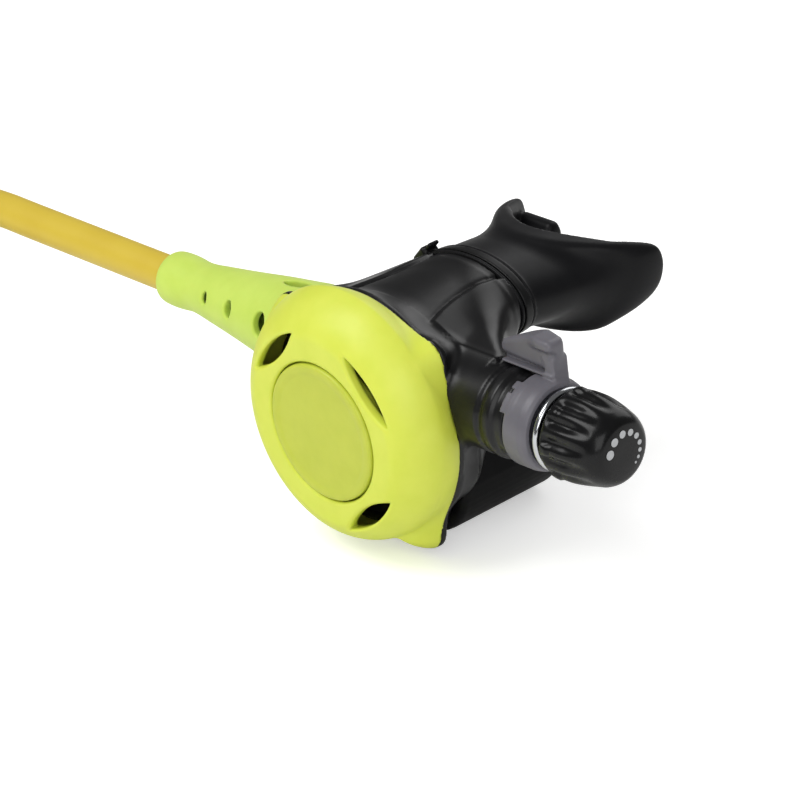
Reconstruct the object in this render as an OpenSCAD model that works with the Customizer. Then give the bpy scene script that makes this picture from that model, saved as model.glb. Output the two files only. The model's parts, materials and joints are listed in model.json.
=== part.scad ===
// Scuba second stage with purge button, adjustment knob, venturi lever and low-pressure hose.
// Origin: middle of the exhaust tee's flat underside. +X to the knob, +Y to the mouthpiece, +Z up.

/* [Frame] */
// Height of the cover's axis above the resting surface
axis_h = 43.5; // [43:0.5:48]
// Distance of the parting plane in front of the tee's middle
parting_d = 29; // [28:0.5:31]
// Height of the valve axis above the cover's axis
valve_up = 10; // [9:0.5:11]
// Distance of the valve axis behind the parting plane
valve_back = 8; // [7.8:0.1:8.4]

/* [Cover] */
// Largest radius of the cover
cover_r = 39.8; // [39:0.1:41]
// Radius of the cover at the parting plane
cover_rim_r = 37; // [36.6:0.1:37.6]
// Radius at which the front face turns into the dome
cover_face_r = 29.6; // [28:0.2:30]
// Depth of the cover from its front face to the parting plane
cover_h = 22.8; // [22:0.2:24]
// Height of the cover's widest circle above the parting plane
cover_belly_h = 12; // [11:0.5:13]
// Wall of the cover
cover_wall = 2; // [1.6:0.1:2.2]
// Length of each lens-shaped slot
slot_len = 24; // [18:1:26]
// Width of each lens-shaped slot
slot_w = 5; // [3.5:0.5:6]
// Radius of the ears on the cover and the flange
ear_r = 4.5; // [3.5:0.5:5]

/* [Purge] */
// Radius of the purge button
button_r = 22; // [20:0.5:22.5]
// How far the button's face stands in front of the cover's face
button_proud = 1.2; // [0.6:0.1:2]
// Gap round the button
button_gap = 0.5; // [0.3:0.1:0.7]
// Radius of the diaphragm's rigid disc
disc_r = 12; // [10:0.5:14]

/* [Case] */
// Radius of the case's front rim
rim_r = 34.3; // [34:0.1:34.5]
// How far the front rim reaches into the cover
rim_h = 11; // [10.8:0.1:11.4]
// Radius of the case body behind the flange
body_r = 33; // [32.6:0.1:33.4]
// Wall of the case
case_wall = 2.2; // [1.8:0.1:2.4]
// Thickness of the case flange behind the cover
flange_t = 2.4; // [2:0.2:3]
// Depth of the eared cup behind the flange
cup_d = 4.4; // [3:0.2:5]
// How far the flange stands out past the cover's rim
flange_out = 0.8; // [0.4:0.1:1.2]
// Radius of the barrel boss on the knob's side
boss_r = 14.3; // [14:0.1:15]

/* [Neck and mouthpiece] */
// Half width of the mouthpiece sleeve
sleeve_a = 27; // [26:0.1:27.6]
// Half height of the mouthpiece sleeve
sleeve_b = 13.7; // [13.5:0.1:14]
// Height of the neck above the cover's axis
neck_up = 21.5; // [21:0.1:22]
// Distance from the parting plane back to the neck's shoulder
neck_back = 39; // [38.6:0.2:40]
// Wall of the rubber mouthpiece
rubber_wall = 2.2; // [2:0.1:2.4]
// Half width of the mouthpiece flange
bite_a = 33.5; // [32:0.5:35]
// Distance from the mouth opening's middle down to the flange's lower edge
bite_b = 17.8; // [17:0.2:18.4]
// Distance from the parting plane to the middle of the mouthpiece flange
bite_back = 63; // [62:0.5:66]
// How far the mouthpiece flange sits below the middle of its sleeve
bite_drop = 1.5; // [0:0.1:2]
// How far the ends of the flange curve back
bite_curve = 27.5; // [26:0.5:29]
// Width of the cable tie's band
tie_w = 4.8; // [3.6:0.2:5]

/* [Exhaust] */
// Half width of the tee at its base
tee_half_w = 27; // [26:0.5:29]
// Radius of the tee's rounded underside
tee_round = 19.5; // [18:0.5:20.5]
// Length of the tee behind its middle
tee_back = 20; // [18:1:24]
// Wall of the tee
tee_wall = 2; // [1.6:0.2:2.4]
// Radius of the mushroom exhaust valve
exhaust_r = 12.5; // [11:0.5:13]

/* [Valve] */
// Outer radius of the valve barrel
barrel_r = 8.5; // [8.3:0.1:8.7]
// Bore radius of the valve barrel
barrel_bore_r = 6; // [5.8:0.1:6.2]
// Lift of the poppet
poppet_lift = 1.25; // [1:0.05:1.25]
// Distance from the case's middle to the lever's pivot
lever_x = 20; // [19:0.5:21]
// Running clearance of round sliding fits
run = 0.07; // [0.04:0.01:0.1]

/* [Venturi lever and knob] */
// Outer radius of the venturi lever's ring
ring_r = 14.3; // [14:0.1:15]
// Width of the venturi lever's ring
ring_w = 9; // [8:0.5:9.5]
// Length of the thumb tab
tab_len = 22; // [18:1:23]
// Rise of the thumb tab above the ring
tab_rise = 7; // [6:0.5:8]
// Radius of the knob's collar
knob_r = 14.2; // [13.6:0.1:15]
// Radius of the knob's front end
knob_end_r = 10.6; // [10:0.1:11.5]
// Length of the knob
knob_len = 26; // [25:0.5:29]
// Number of grip flutes
knob_flutes = 10; // [8:1:12]
// Number of dots on the knob's end
dot_count = 9; // [5:1:9]

/* [Hose] */
// Diameter of the hose
hose_d = 12; // [12:0.1:12.2]
// Radius of the boot at its hose end
boot_tip_r = 8.4; // [8.2:0.1:9.4]
// Radius of the boot at the case
boot_mouth_r = 16; // [15.8:0.1:16.6]
// Length of the boot
boot_len = 75; // [72:1:80]
// Mean radius of the hose's coil
coil_r = 62; // [61:0.5:63]
// Width across the flats of the first-stage hexagon
end_hex = 14.3; // [13:0.1:15]
// Radius of the first-stage thread
end_thread_r = 4.76; // [4.5:0.01:5]

/* [Hidden] */
$fn = 64;
eps = 0.01;
gap = 0.3;

lime = "#d9e650";
lime_boot = "#cde864";
hose_yellow = "#d8b93c";
black = "#1c1c1e";
grey = "#7d7a82";
chrome = "#c9ccd0";
brass = "#b79a5a";
rubber = "#2a2a2c";

// Ears and slots, as angles seen from the front with +X at 0
ears = [[46, 43.3], [145, 44], [-67, 46]];
slots = [42.5, 144, -58];
slot_r = 30.5;
dome_power = 1.7;
dome_steps = 12;

parting_y = -parting_d;
valve_y = parting_y + valve_back;
valve_z = axis_h + valve_up;
flange_r = cover_rim_r + flange_out;
cavity_r = rim_r - case_wall - 1;
face_z = cover_h + button_proud;
cover_inner_z = cover_h - cover_wall;

// Diaphragm stack, measured forward from the parting plane
seat_z = 5;
bead_t = 2.2;
film_z = 6.2;
film_t = 0.8;
disc_t = 0.6;
disc_z = film_z + film_t;
retainer_z = seat_z + bead_t;
spoke_z = 9.4;
spoke_t = 1.4;
hub_z = 12;
plunger_r = 3;
plunger_z = disc_z + disc_t + gap;
spring_r = 6.4;
flange_b_t = 1.5;
button_flange_z = cover_inner_z - gap - flange_b_t;
button_skirt = 1.8;

// Valve train, measured along X from the case's middle
inlet_x = -52;
inlet_r = 7.1;
boss_left_x = -42;
boss_left_r = 12.5;
shoulder_left_x = -34;
boss_x = 44;
nose_x = 57;
ring_x = nose_x + 1;
ring_end_x = ring_x + ring_w;
ring_wall_t = 1.6;
nose_r = ring_r - 2.4;
nut_x = ring_end_x + 0.6;
nut_t = 2.2;
nut_r = 12.6;
knob_x = nut_x + nut_t + 0.4;
knob_tip_x = knob_x + knob_len;
barrel_end_x = knob_x + 4;
// Turned-down stretches of the barrel where the cover's rim passes it
relief_r = 7.6;
relief_x0 = 32.5;
relief_x1 = 40.4;
seat_x = -12.4;
orifice_x = -38;
sleeve_t = 2;
vane_x = 41;
vane_len = 53;
vane_r = barrel_r + run + sleeve_t;
blade_half = 18;
blade_rest = -25;
venturi_sweep = 60;
pivot_back = 2;
foot_drop = 6.5;
foot_r = 0.9;
leg_out = barrel_r + 0.4;
leg_t = 1.2;
lever_z = 2.2;
lever_t = 1.2;
eye_r = 1.9;
tip_z = film_z - gap;
flange_x = lever_x + foot_r + 2 * gap;
stem_r = 2.2;
spring_x0 = flange_x + 3;
spindle_x0 = 44;
spindle_x1 = barrel_end_x - 3;
wire_r = 4.2;

// Hose end, from the seat on the barrel to the start of the hose
nut_len = 14;
ferrule_x = -64;
ferrule_len = 26;
ferrule_r = 7.4;
hose_start_x = ferrule_x - 4;
stem_bore_r = 2.6;
boot_x = -36;
boot_tip_x = boot_x - boot_len;
boot_bore_r = boss_left_r + gap;
nut_room_r = 10.6;
hose_r = hose_d / 2;
// Vent holes down the boot's sides: distance along X, half length, half width
vents = [[-48, 2.9, 3.9], [-65, 2, 2.9], [-78.5, 1.3, 2.3]];
// Length of the boot's slim part, and of its bell at the case
boot_slim = 46;
boot_bell = 14;

// The hose's way down to the coil: straight out of the boot, then two equal arcs to the coil's top turn
coil_c = [-330, -30];
fall_x = -196;
fall_along = fall_x - coil_c[0];
fall_to = [coil_c[0], coil_c[1] - coil_r, 3 * hose_r];
fall_across = norm([fall_to[1] - valve_y, fall_to[2] - valve_z]);
fall_way = [0, fall_to[1] - valve_y, fall_to[2] - valve_z] / fall_across;
fall_r = (pow(fall_along, 2) + pow(fall_across, 2)) / (4 * fall_across);
fall_a = 2 * atan(fall_across / fall_along);
fall_steps = 8;
hose_route = concat(
    [for (x = [hose_start_x, -90, -120, -150, -175]) [x, valve_y, valve_z]],
    [for (i = [0:fall_steps]) let (a = fall_a * i / fall_steps)
        [fall_x - fall_r * sin(a), valve_y, valve_z] + fall_r * (1 - cos(a)) * fall_way],
    [for (i = [fall_steps - 1:-1:0]) let (a = fall_a * i / fall_steps)
        fall_to + [fall_r * sin(a), 0, 0] - fall_r * (1 - cos(a)) * fall_way]);
// The hose's last stretch, which leaves the bottom turn for its fitting
tail_a = 40;
tail_len = 66;
tail_rise_len = 30;
end_z = 7.5;

// ---- helpers ----

// Local x to the right, y up and z to the front, from the middle of the parting plane
module front() { translate([0, parting_y, axis_h]) rotate([90, 0, 0]) children(); }

// Local z runs along +X on the valve's axis
module along_valve() { translate([0, valve_y, valve_z]) rotate([0, 90, 0]) children(); }

// Solid of revolution about the valve's axis, from [radius, x] points
module turned(points) { along_valve() rotate_extrude() polygon(points); }

function arc(c, r, a0, a1, n = 8) =
    [for (i = [0:n]) let (a = a0 + (a1 - a0) * i / n) [c[0] + r * cos(a), c[1] + r * sin(a)]];

function oval(a, b, n = 64) = [for (i = [0:n - 1]) [a * cos(360 * i / n), b * sin(360 * i / n)]];

module tube(r_out, r_in, h) {
    difference() {
        cylinder(r = r_out, h = h);
        translate([0, 0, -eps]) cylinder(r = r_in, h = h + 2 * eps);
    }
}

module ring(r, t) { rotate_extrude() translate([r, 0]) circle(r = t, $fn = 24); }

// Round rod swept along a list of points, closed at both ends
module swept(path, r, sides = 10) {
    n = len(path);
    function ahead(i) = let (d = path[min(i + 1, n - 1)] - path[max(i - 1, 0)]) d / norm(d);
    function side(i) = let (s = cross(ahead(i), [0, 0, 1])) s / norm(s);
    points = [for (i = [0:n - 1], j = [0:sides - 1])
        let (s = side(i), u = cross(s, ahead(i)), a = 360 * (j + 0.5) / sides)
        path[i] + r * (cos(a) * s + sin(a) * u)];
    sides_faces = [for (i = [0:n - 2], j = [0:sides - 1]) let (k = (j + 1) % sides)
        [i * sides + j, i * sides + k, (i + 1) * sides + k, (i + 1) * sides + j]];
    ends = [[for (j = [sides - 1:-1:0]) j], [for (j = [0:sides - 1]) (n - 1) * sides + j]];
    polyhedron(points, concat(sides_faces, ends));
}

// Points of a smooth curve through a route
function smooth_path(p, steps = 2) = concat([for (i = [0:len(p) - 2], k = [0:steps - 1])
    let (t = k / steps, a = p[max(i - 1, 0)], b = p[i], c = p[i + 1], d = p[min(i + 2, len(p) - 1)])
    0.5 * (2 * b + (c - a) * t + (2 * a - 5 * b + 4 * c - d) * t * t
        + (3 * b - a - 3 * c + d) * t * t * t)], [p[len(p) - 1]]);

// Coil spring along +Z
module spring(r, wire, turns, h, seg = 16, sides = 6) {
    n = turns * seg;
    points = [for (i = [0:n], j = [0:sides - 1])
        let (a = 360 * i / seg, b = 360 * j / sides, q = r + wire / 2 * cos(b))
        [q * cos(a), q * sin(a), wire / 2 + (h - wire) * i / n + wire / 2 * sin(b)]];
    walls = [for (i = [0:n - 1], j = [0:sides - 1]) let (k = (j + 1) % sides)
        [i * sides + j, i * sides + k, (i + 1) * sides + k, (i + 1) * sides + j]];
    ends = [[for (j = [sides - 1:-1:0]) j], [for (j = [0:sides - 1]) n * sides + j]];
    polyhedron(points, concat(walls, ends));
}

// Disc with three ears joined to it by their common tangents
module eared(r, grow = 0) {
    circle(r = r + grow, $fn = 128);
    for (e = ears) {
        d = e[1] - ear_r;
        b = acos((r - ear_r) / d);
        rotate(e[0]) {
            translate([d, 0]) circle(r = ear_r + grow, $fn = 32);
            polygon([(r + grow) * [cos(b), sin(b)], [d, 0] + (ear_r + grow) * [cos(b), sin(b)],
                [d, 0] + (ear_r + grow) * [cos(b), -sin(b)], (r + grow) * [cos(b), -sin(b)]]);
        }
    }
}

// ---- cover and purge ----

// Dome profile: rim, belly, then a power curve up to the front face; inset gives the inside
function dome(inset) = concat(
    [for (i = [0:4]) let (z = cover_belly_h * i / 4)
        [cover_r - inset - (cover_r - cover_rim_r) * pow(1 - z / cover_belly_h, 2), z]],
    [for (i = [1:dome_steps]) let (
        a = 90 * i / dome_steps,
        w = cover_r - cover_face_r,
        h = cover_h - inset - cover_belly_h)
        [cover_face_r - inset + w * pow(cos(a), 2 / dome_power),
         cover_belly_h + h * pow(sin(a), 2 / dome_power)]]);

module lens(l, w, h) {
    r = (l * l / 4 + w * w / 4) / w;
    intersection() {
        translate([r - w / 2, 0, 0]) cylinder(r = r, h = h, $fn = 128);
        translate([w / 2 - r, 0, 0]) cylinder(r = r, h = h, $fn = 128);
    }
}

module cover_ear(a, reach) {
    rotate(a) hull() {
        translate([reach - ear_r, 0, 0]) cylinder(r = ear_r, h = 2.4, $fn = 24);
        translate([cover_r - 4.6, 0, 14]) sphere(r = 3.4, $fn = 16);
        translate([cover_rim_r - 5, -9, 0]) cylinder(r = 3.4, h = 3, $fn = 16);
        translate([cover_rim_r - 5, 9, 0]) cylinder(r = 3.4, h = 3, $fn = 16);
    }
}

module front_cover() {
    color(lime) front() difference() {
        union() {
            rotate_extrude($fn = 128) polygon(concat([[0, 0]], dome(0), [[0, cover_h]]));
            for (e = ears) cover_ear(e[0], e[1]);
        }
        translate([0, 0, -eps]) rotate_extrude($fn = 128)
            polygon(concat([[0, -1]], [[cover_rim_r - cover_wall, -1]], dome(cover_wall), [[0, cover_inner_z]]));
        cylinder(r = button_r + button_gap, h = cover_h + 1, $fn = 128);
        for (a = slots) rotate(a) translate([slot_r, 0, cover_belly_h]) lens(slot_len, slot_w, cover_h);
    }
}

module purge_button() {
    edge = 1;
    color(lime) front() rotate_extrude($fn = 128) polygon(concat(
        [[0, plunger_z], [plunger_r, plunger_z], [plunger_r, face_z - 2]],
        [[button_r - button_skirt, face_z - 2], [button_r - button_skirt, button_flange_z - 1.5]],
        [[button_r + 0.6, button_flange_z - 1.5], [button_r + button_gap + 1.5, button_flange_z]],
        [[button_r + button_gap + 1.5, button_flange_z + flange_b_t], [button_r, button_flange_z + flange_b_t]],
        arc([button_r - edge, face_z - edge], edge, 0, 90, 4),
        [[button_r - 3, face_z], [button_r - 4, face_z - 0.3], [0, face_z - 0.3]]));
}

module purge_spring() {
    h = face_z - 2 - hub_z;
    color(chrome) front() translate([0, 0, hub_z]) spring(spring_r, 1, 4, h);
}

module diaphragm_retainer() {
    rim_in = cavity_r - 2.7;
    color(rubber) front() difference() {
        union() {
            translate([0, 0, retainer_z]) tube(cavity_r - 0.1, rim_in, rim_h - retainer_z);
            translate([0, 0, spoke_z]) for (a = [0:60:300]) rotate(a + 30)
                translate([spring_r - 1, -1.5, 0]) cube([rim_in + 0.5 - spring_r + 1, 3, spoke_t]);
            translate([0, 0, spoke_z]) cylinder(r = spring_r + 2, h = hub_z - spoke_z);
            translate([0, 0, hub_z - eps]) tube(spring_r - 0.7, plunger_r + gap, 1.2);
        }
        translate([0, 0, spoke_z - eps]) cylinder(r = plunger_r + gap, h = 6);
    }
}

module diaphragm() {
    roll_r = (cavity_r - 3 + disc_r + 4) / 2;
    roll_w = (cavity_r - 3 - disc_r - 4) / 2;
    roll_h = 1.9;
    steps = 12;
    function fold(lift) = [for (i = [0:steps]) let (s = -1 + 2 * i / steps)
        [roll_r + roll_w * s, film_z + lift + roll_h * (1 - s * s)]];
    top = fold(film_t);
    low = fold(0);
    color(rubber) front() rotate_extrude($fn = 96) polygon(concat(
        [[0, film_z]], low,
        [[cavity_r - 2.6, seat_z], [cavity_r - 0.1, seat_z], [cavity_r - 0.1, seat_z + bead_t],
         [cavity_r - 2.6, seat_z + bead_t]],
        [for (i = [steps:-1:0]) top[i]], [[0, film_z + film_t]]));
}

module diaphragm_disc() {
    color(chrome) front() rotate_extrude() polygon([[0, disc_z], [disc_r, disc_z], [disc_r, disc_z + disc_t],
        [plunger_r + 2, disc_z + disc_t], [plunger_r + 1.6, disc_z + disc_t + 0.3],
        [plunger_r + 1.1, disc_z + disc_t], [0, disc_z + disc_t]]);
}

// ---- case ----

// Outer or inner form of the case behind the flange: round body drawn out to the oval neck
module case_body(inset) {
    hull() {
        translate([0, 0, -6]) cylinder(r = body_r - inset, h = 6 - flange_t + (inset > 0 ? 1 : 0), $fn = 96);
        translate([0, neck_up, -neck_back]) scale([sleeve_a - inset, sleeve_b - inset, 1])
            cylinder(r = 1, h = 1, $fn = 64);
    }
}

// Fairing that carries the valve barrel across the back of the case
module shoulder() {
    hull() {
        translate([shoulder_left_x, valve_up, -valve_back]) rotate([0, 90, 0])
            cylinder(r = boss_r, h = boss_x - shoulder_left_x, $fn = 48);
        translate([0, neck_up, -neck_back + 4]) scale([sleeve_a - 1, sleeve_b - 1, 1]) cylinder(r = 1, h = 1, $fn = 48);
    }
}

// Local z points out of the exhaust port, square to the sloping underside
module exhaust_port() {
    low = [-body_r, -6];
    high = [neck_up - sleeve_b, -neck_back];
    mid = low * 0.58 + high * 0.42;
    translate([0, mid[0], mid[1]]) rotate([atan2(low[1] - high[1], low[0] - high[0]), 0, 0]) children();
}

module case() {
    color(black) difference() {
        union() {
            difference() {
                union() {
                    front() shoulder();
                    turned([[0, boss_left_x], [boss_left_r - 0.5, boss_left_x], [boss_left_r, boss_left_x + 0.5],
                        [boss_left_r, shoulder_left_x + 1], [0, shoulder_left_x + 1]]);
                }
                front() linear_extrude(30) difference() {
                    eared(cover_r, gap);
                    circle(r = rim_r, $fn = 128);
                }
            }
            front() {
                translate([0, 0, -flange_t - 1]) cylinder(r = rim_r, h = flange_t + 1 + rim_h, $fn = 128);
                translate([0, 0, -flange_t]) linear_extrude(flange_t) eared(flange_r);
                translate([0, 0, -flange_t - cup_d]) linear_extrude(cup_d + eps) eared(flange_r, -1.2);
                case_body(0);
                translate([0, neck_up, -neck_back - 11]) linear_extrude(12)
                    polygon(oval(sleeve_a - rubber_wall, sleeve_b - rubber_wall));
                exhaust_port() translate([0, 0, -3]) cylinder(r = exhaust_r + 2.5, h = 4.2);
            }
            turned([[0, boss_x - 1], [boss_r, boss_x - 1], [boss_r, boss_x + 3], [boss_r - 0.9, boss_x + 3.8],
                [boss_r - 0.9, boss_x + 5.2], [boss_r, boss_x + 6], [boss_r, boss_x + 8.5],
                [boss_r - 1.2, boss_x + 9.5], [boss_r - 1.2, nose_x - 0.4], [nose_r - run, nose_x],
                [nose_r - run, ring_end_x - ring_wall_t - gap], [0, ring_end_x - ring_wall_t - gap]]);
        }
        front() {
            translate([0, 0, seat_z]) cylinder(r = cavity_r, h = rim_h, $fn = 128);
            translate([0, 0, -5]) cylinder(r = cavity_r - 2.6, h = rim_h, $fn = 128);
            translate([0, 0, -6]) cylinder(r = cavity_r - 0.4, h = 6 + seat_z - 1.2, $fn = 128);
            case_body(case_wall);
            translate([0, neck_up, -neck_back - 12]) linear_extrude(16)
                polygon(oval(sleeve_a - rubber_wall - case_wall, sleeve_b - rubber_wall - case_wall));
            exhaust_port() {
                translate([0, 0, -7]) cylinder(r = 1.6, h = 12);
                for (a = [0:60:300]) rotate(a) translate([exhaust_r * 0.56, 0, -7]) cylinder(r = exhaust_r * 0.22, h = 12);
            }
            lever_pocket();
        }
        along_valve() {
            translate([0, 0, inlet_x]) cylinder(r = barrel_r + run, h = vane_x - inlet_x);
            translate([0, 0, vane_x - gap]) cylinder(r = vane_r + run, h = ring_end_x - vane_x);
            // way for the vane's blade through the wall, as wide as its sweep
            translate([0, 0, lever_x]) rotate(blade_rest + venturi_sweep / 2) intersection() {
                cylinder(r = vane_r + gap, h = vane_x - lever_x);
                linear_extrude(vane_x - lever_x) wedge(blade_half + venturi_sweep / 2 + 3, 2 * vane_r);
            }
        }
    }
}

// Room for the lever's legs where the case narrows
module lever_pocket() {
    side = leg_out + leg_t + 2 * gap;
    deep = pivot_back + foot_drop + foot_r + 2 * gap;
    translate([lever_x - eye_r - 3 * gap, valve_up - side, -deep]) cube([2 * eye_r + 6 * gap, 2 * side, deep + 1]);
}

// Triangle from the middle out to a reach, open by half an angle on each side of +Y
module wedge(half, reach) { polygon([[0, 0], [reach * tan(half), reach], [-reach * tan(half), reach]]); }

module exhaust_valve() {
    z0 = 1.2;
    color(rubber) front() exhaust_port() rotate_extrude() polygon([[0, -6.4], [1.2, -6.2], [2.3, -3.9], [1.5, -3.2],
        [1.5, z0], [exhaust_r, z0], [exhaust_r, z0 + 0.5], [exhaust_r - 4, z0 + 1.4], [2.4, z0 + 2], [0, z0 + 2]]);
}

tee_top = 34;

// Tee outline across X, from the flat underside up
function tee_front(inset, top) = let (w = tee_half_w - inset, r = tee_round - inset, n = 10)
    concat(arc([w - r, r + inset], r, -90, 0, n), [[w - 5, top], [5 - w, top]],
        arc([r - w, r + inset], r, 180, 270, n));

// Tee outline along Y
function tee_side(inset) = [[inset - 23.5, inset], [tee_back + (inset > 0 ? -inset : 0), inset],
    [tee_back + (inset > 0 ? -inset : 0), tee_top / 2 - inset], [12 - inset, tee_top - 7 - inset], [0, tee_top - inset],
    [inset - 23.5, tee_top - inset]];

module tee_form(inset) {
    across = 1.5 * tee_half_w;
    intersection() {
        rotate([90, 0, 0]) translate([0, 0, -across]) linear_extrude(2 * across) polygon(tee_front(inset, tee_top + 2));
        rotate([90, 0, 90]) translate([0, 0, -across]) linear_extrude(2 * across) polygon(tee_side(inset));
    }
}

module exhaust_tee() {
    color(black) difference() {
        tee_form(0);
        difference() {
            tee_form(tee_wall);
            translate([-tee_wall / 2, 4, 0]) cube([tee_wall, tee_back, 30]);
        }
        for (s = [-1, 1]) translate([s * 11 - 6, tee_back - 5, 5]) cube([12, 10, 9]);
        front() {
            case_body(0);
            exhaust_port() translate([0, 0, -12]) cylinder(r = exhaust_r + 2.5, h = 18);
            translate([0, 0, -flange_t - gap]) linear_extrude(20) eared(flange_r, gap);
            translate([0, 0, -flange_t - cup_d - gap]) linear_extrude(cup_d + gap) eared(flange_r, gap - 1.2);
        }
    }
}

// ---- valve ----

module valve_barrel() {
    color(chrome) difference() {
        turned([[0, inlet_x], [inlet_r - 0.6, inlet_x], [inlet_r, inlet_x + 0.6], [inlet_r, boss_left_x - 2],
            [barrel_r + 2, boss_left_x - 2], [barrel_r + 2, boss_left_x], [barrel_r, boss_left_x],
            [barrel_r, -relief_x1], [relief_r, -relief_x1], [relief_r, -relief_x0], [barrel_r, -relief_x0],
            [barrel_r, relief_x0], [relief_r, relief_x0], [relief_r, relief_x1], [barrel_r, relief_x1],
            [barrel_r, nut_x - 0.4], [barrel_r - 0.9, nut_x - 0.4], [barrel_r - 0.9, barrel_end_x], [0, barrel_end_x]]);
        along_valve() {
            translate([0, 0, inlet_x - 1]) cylinder(r = 3.6, h = 20);
            translate([0, 0, orifice_x]) cylinder(r = barrel_bore_r, h = barrel_end_x - orifice_x + 1);
        }
        lever_slot();
        translate([seat_x + 1, valve_y, valve_z - 3]) cube([12, 20, 6]);
    }
}

// Slot through both walls of the barrel for the lever's feet
module lever_slot() {
    translate([lever_x - foot_r - gap, parting_y + pivot_back + foot_drop - foot_r - gap, valve_z - barrel_r - 1])
        cube([2 * (foot_r + gap) + 1.2 * poppet_lift, 2 * (foot_r + gap), 2 * barrel_r + 2]);
}

module orifice() {
    color(brass) turned([[2, orifice_x], [barrel_bore_r - run, orifice_x], [barrel_bore_r - run, -31.4],
        [barrel_bore_r - 1.3, -31.4], [barrel_bore_r - 1.3, -28.6], [barrel_bore_r - run, -28.6],
        [barrel_bore_r - run, seat_x - 4], [3.4, seat_x - 2.2], [3, seat_x - 0.05], [2.4, seat_x - 0.05],
        [2, seat_x - 2]]);
}

module orifice_oring() { color(rubber) along_valve() translate([0, 0, -30]) ring(barrel_bore_r - 0.65, 0.6); }

module poppet() {
    color(brass) difference() {
        turned([[0, seat_x], [4.6, seat_x], [4.6, seat_x + 3], [stem_r, seat_x + 5], [stem_r, flange_x],
            [barrel_bore_r - run, flange_x], [barrel_bore_r - run, spring_x0], [stem_r, spring_x0],
            [stem_r, spindle_x0 - 4], [stem_r - 0.6, spindle_x0 - 3.4], [0, spindle_x0 - 3.4]]);
        along_valve() translate([0, 0, seat_x - 1]) cylinder(r = 3.9, h = 2.6);
    }
}

module poppet_seat() {
    color(rubber) along_valve() translate([0, 0, seat_x]) cylinder(r = 3.9, h = 1.6);
}

module poppet_spring() {
    color(chrome) along_valve() translate([0, 0, spring_x0])
        spring(wire_r, 0.9, 6, spindle_x0 - spring_x0);
}

module adjusting_spindle() {
    r = barrel_bore_r - run;
    groove = spindle_x1 - 6;
    color(brass) difference() {
        union() {
            turned([[0, spindle_x0], [r, spindle_x0], [r, groove], [r - 1.2, groove], [r - 1.2, groove + 1.8],
                [r, groove + 1.8], [r, spindle_x1], [0, spindle_x1]]);
            along_valve() translate([-2.5, -2.5, spindle_x1 - 1]) cube([5, 5, knob_tip_x - 6 - spindle_x1]);
        }
        along_valve() translate([0, 0, spindle_x0 - 1]) cylinder(r = stem_r + 0.5, h = 12);
    }
}

module spindle_oring() {
    color(rubber) along_valve() translate([0, 0, spindle_x1 - 5.1]) ring(barrel_bore_r - 0.65, 0.6);
}

module demand_lever() {
    reach = norm([lever_x, valve_up]);
    bend = 0.42 * reach;
    bend_z = lever_z - 0.3;
    color(chrome) front() {
        for (s = [-1, 1]) translate([lever_x, valve_up, 0]) {
            translate([-foot_r - 0.3, s > 0 ? leg_out : -leg_out - leg_t, -pivot_back - foot_drop - foot_r])
                cube([2 * foot_r + 0.6, leg_t, lever_z + lever_t + pivot_back + foot_drop + foot_r]);
            translate([0, s * (leg_out + leg_t / 2), -pivot_back - foot_drop]) rotate([s * 90, 0, 0])
                cylinder(r = foot_r, h = leg_out - 3.8, $fn = 24);
            // round eye on the line that the lever tilts about
            translate([0, s * (leg_out + leg_t / 2), -pivot_back]) rotate([90, 0, 0])
                cylinder(r = eye_r, h = leg_t, center = true);
        }
        translate([lever_x - 1.2, valve_up - leg_out - leg_t, lever_z]) cube([2.4, 2 * (leg_out + leg_t), lever_t]);
        translate([lever_x, valve_up, 0]) rotate([0, 0, 180 + atan2(valve_up, lever_x)])
            rotate([90, 0, 0]) translate([0, 0, -1.8]) linear_extrude(3.6)
            polygon([[0, lever_z], [bend, bend_z], [0.85 * reach, tip_z - lever_t], [reach, tip_z - lever_t],
                [reach, tip_z], [0.85 * reach, tip_z], [bend, bend_z + lever_t], [0, lever_z + lever_t]]);
        translate([0, 0, tip_z - lever_t]) cylinder(r = 2.6, h = lever_t);
    }
}

module barrel_nut() {
    color(chrome) turned([[barrel_r - 0.9, nut_x], [nut_r - 0.4, nut_x], [nut_r, nut_x + 0.4],
        [nut_r, nut_x + nut_t - 0.7], [nut_r - 0.7, nut_x + nut_t], [barrel_r - 0.9, nut_x + nut_t]]);
}

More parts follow.
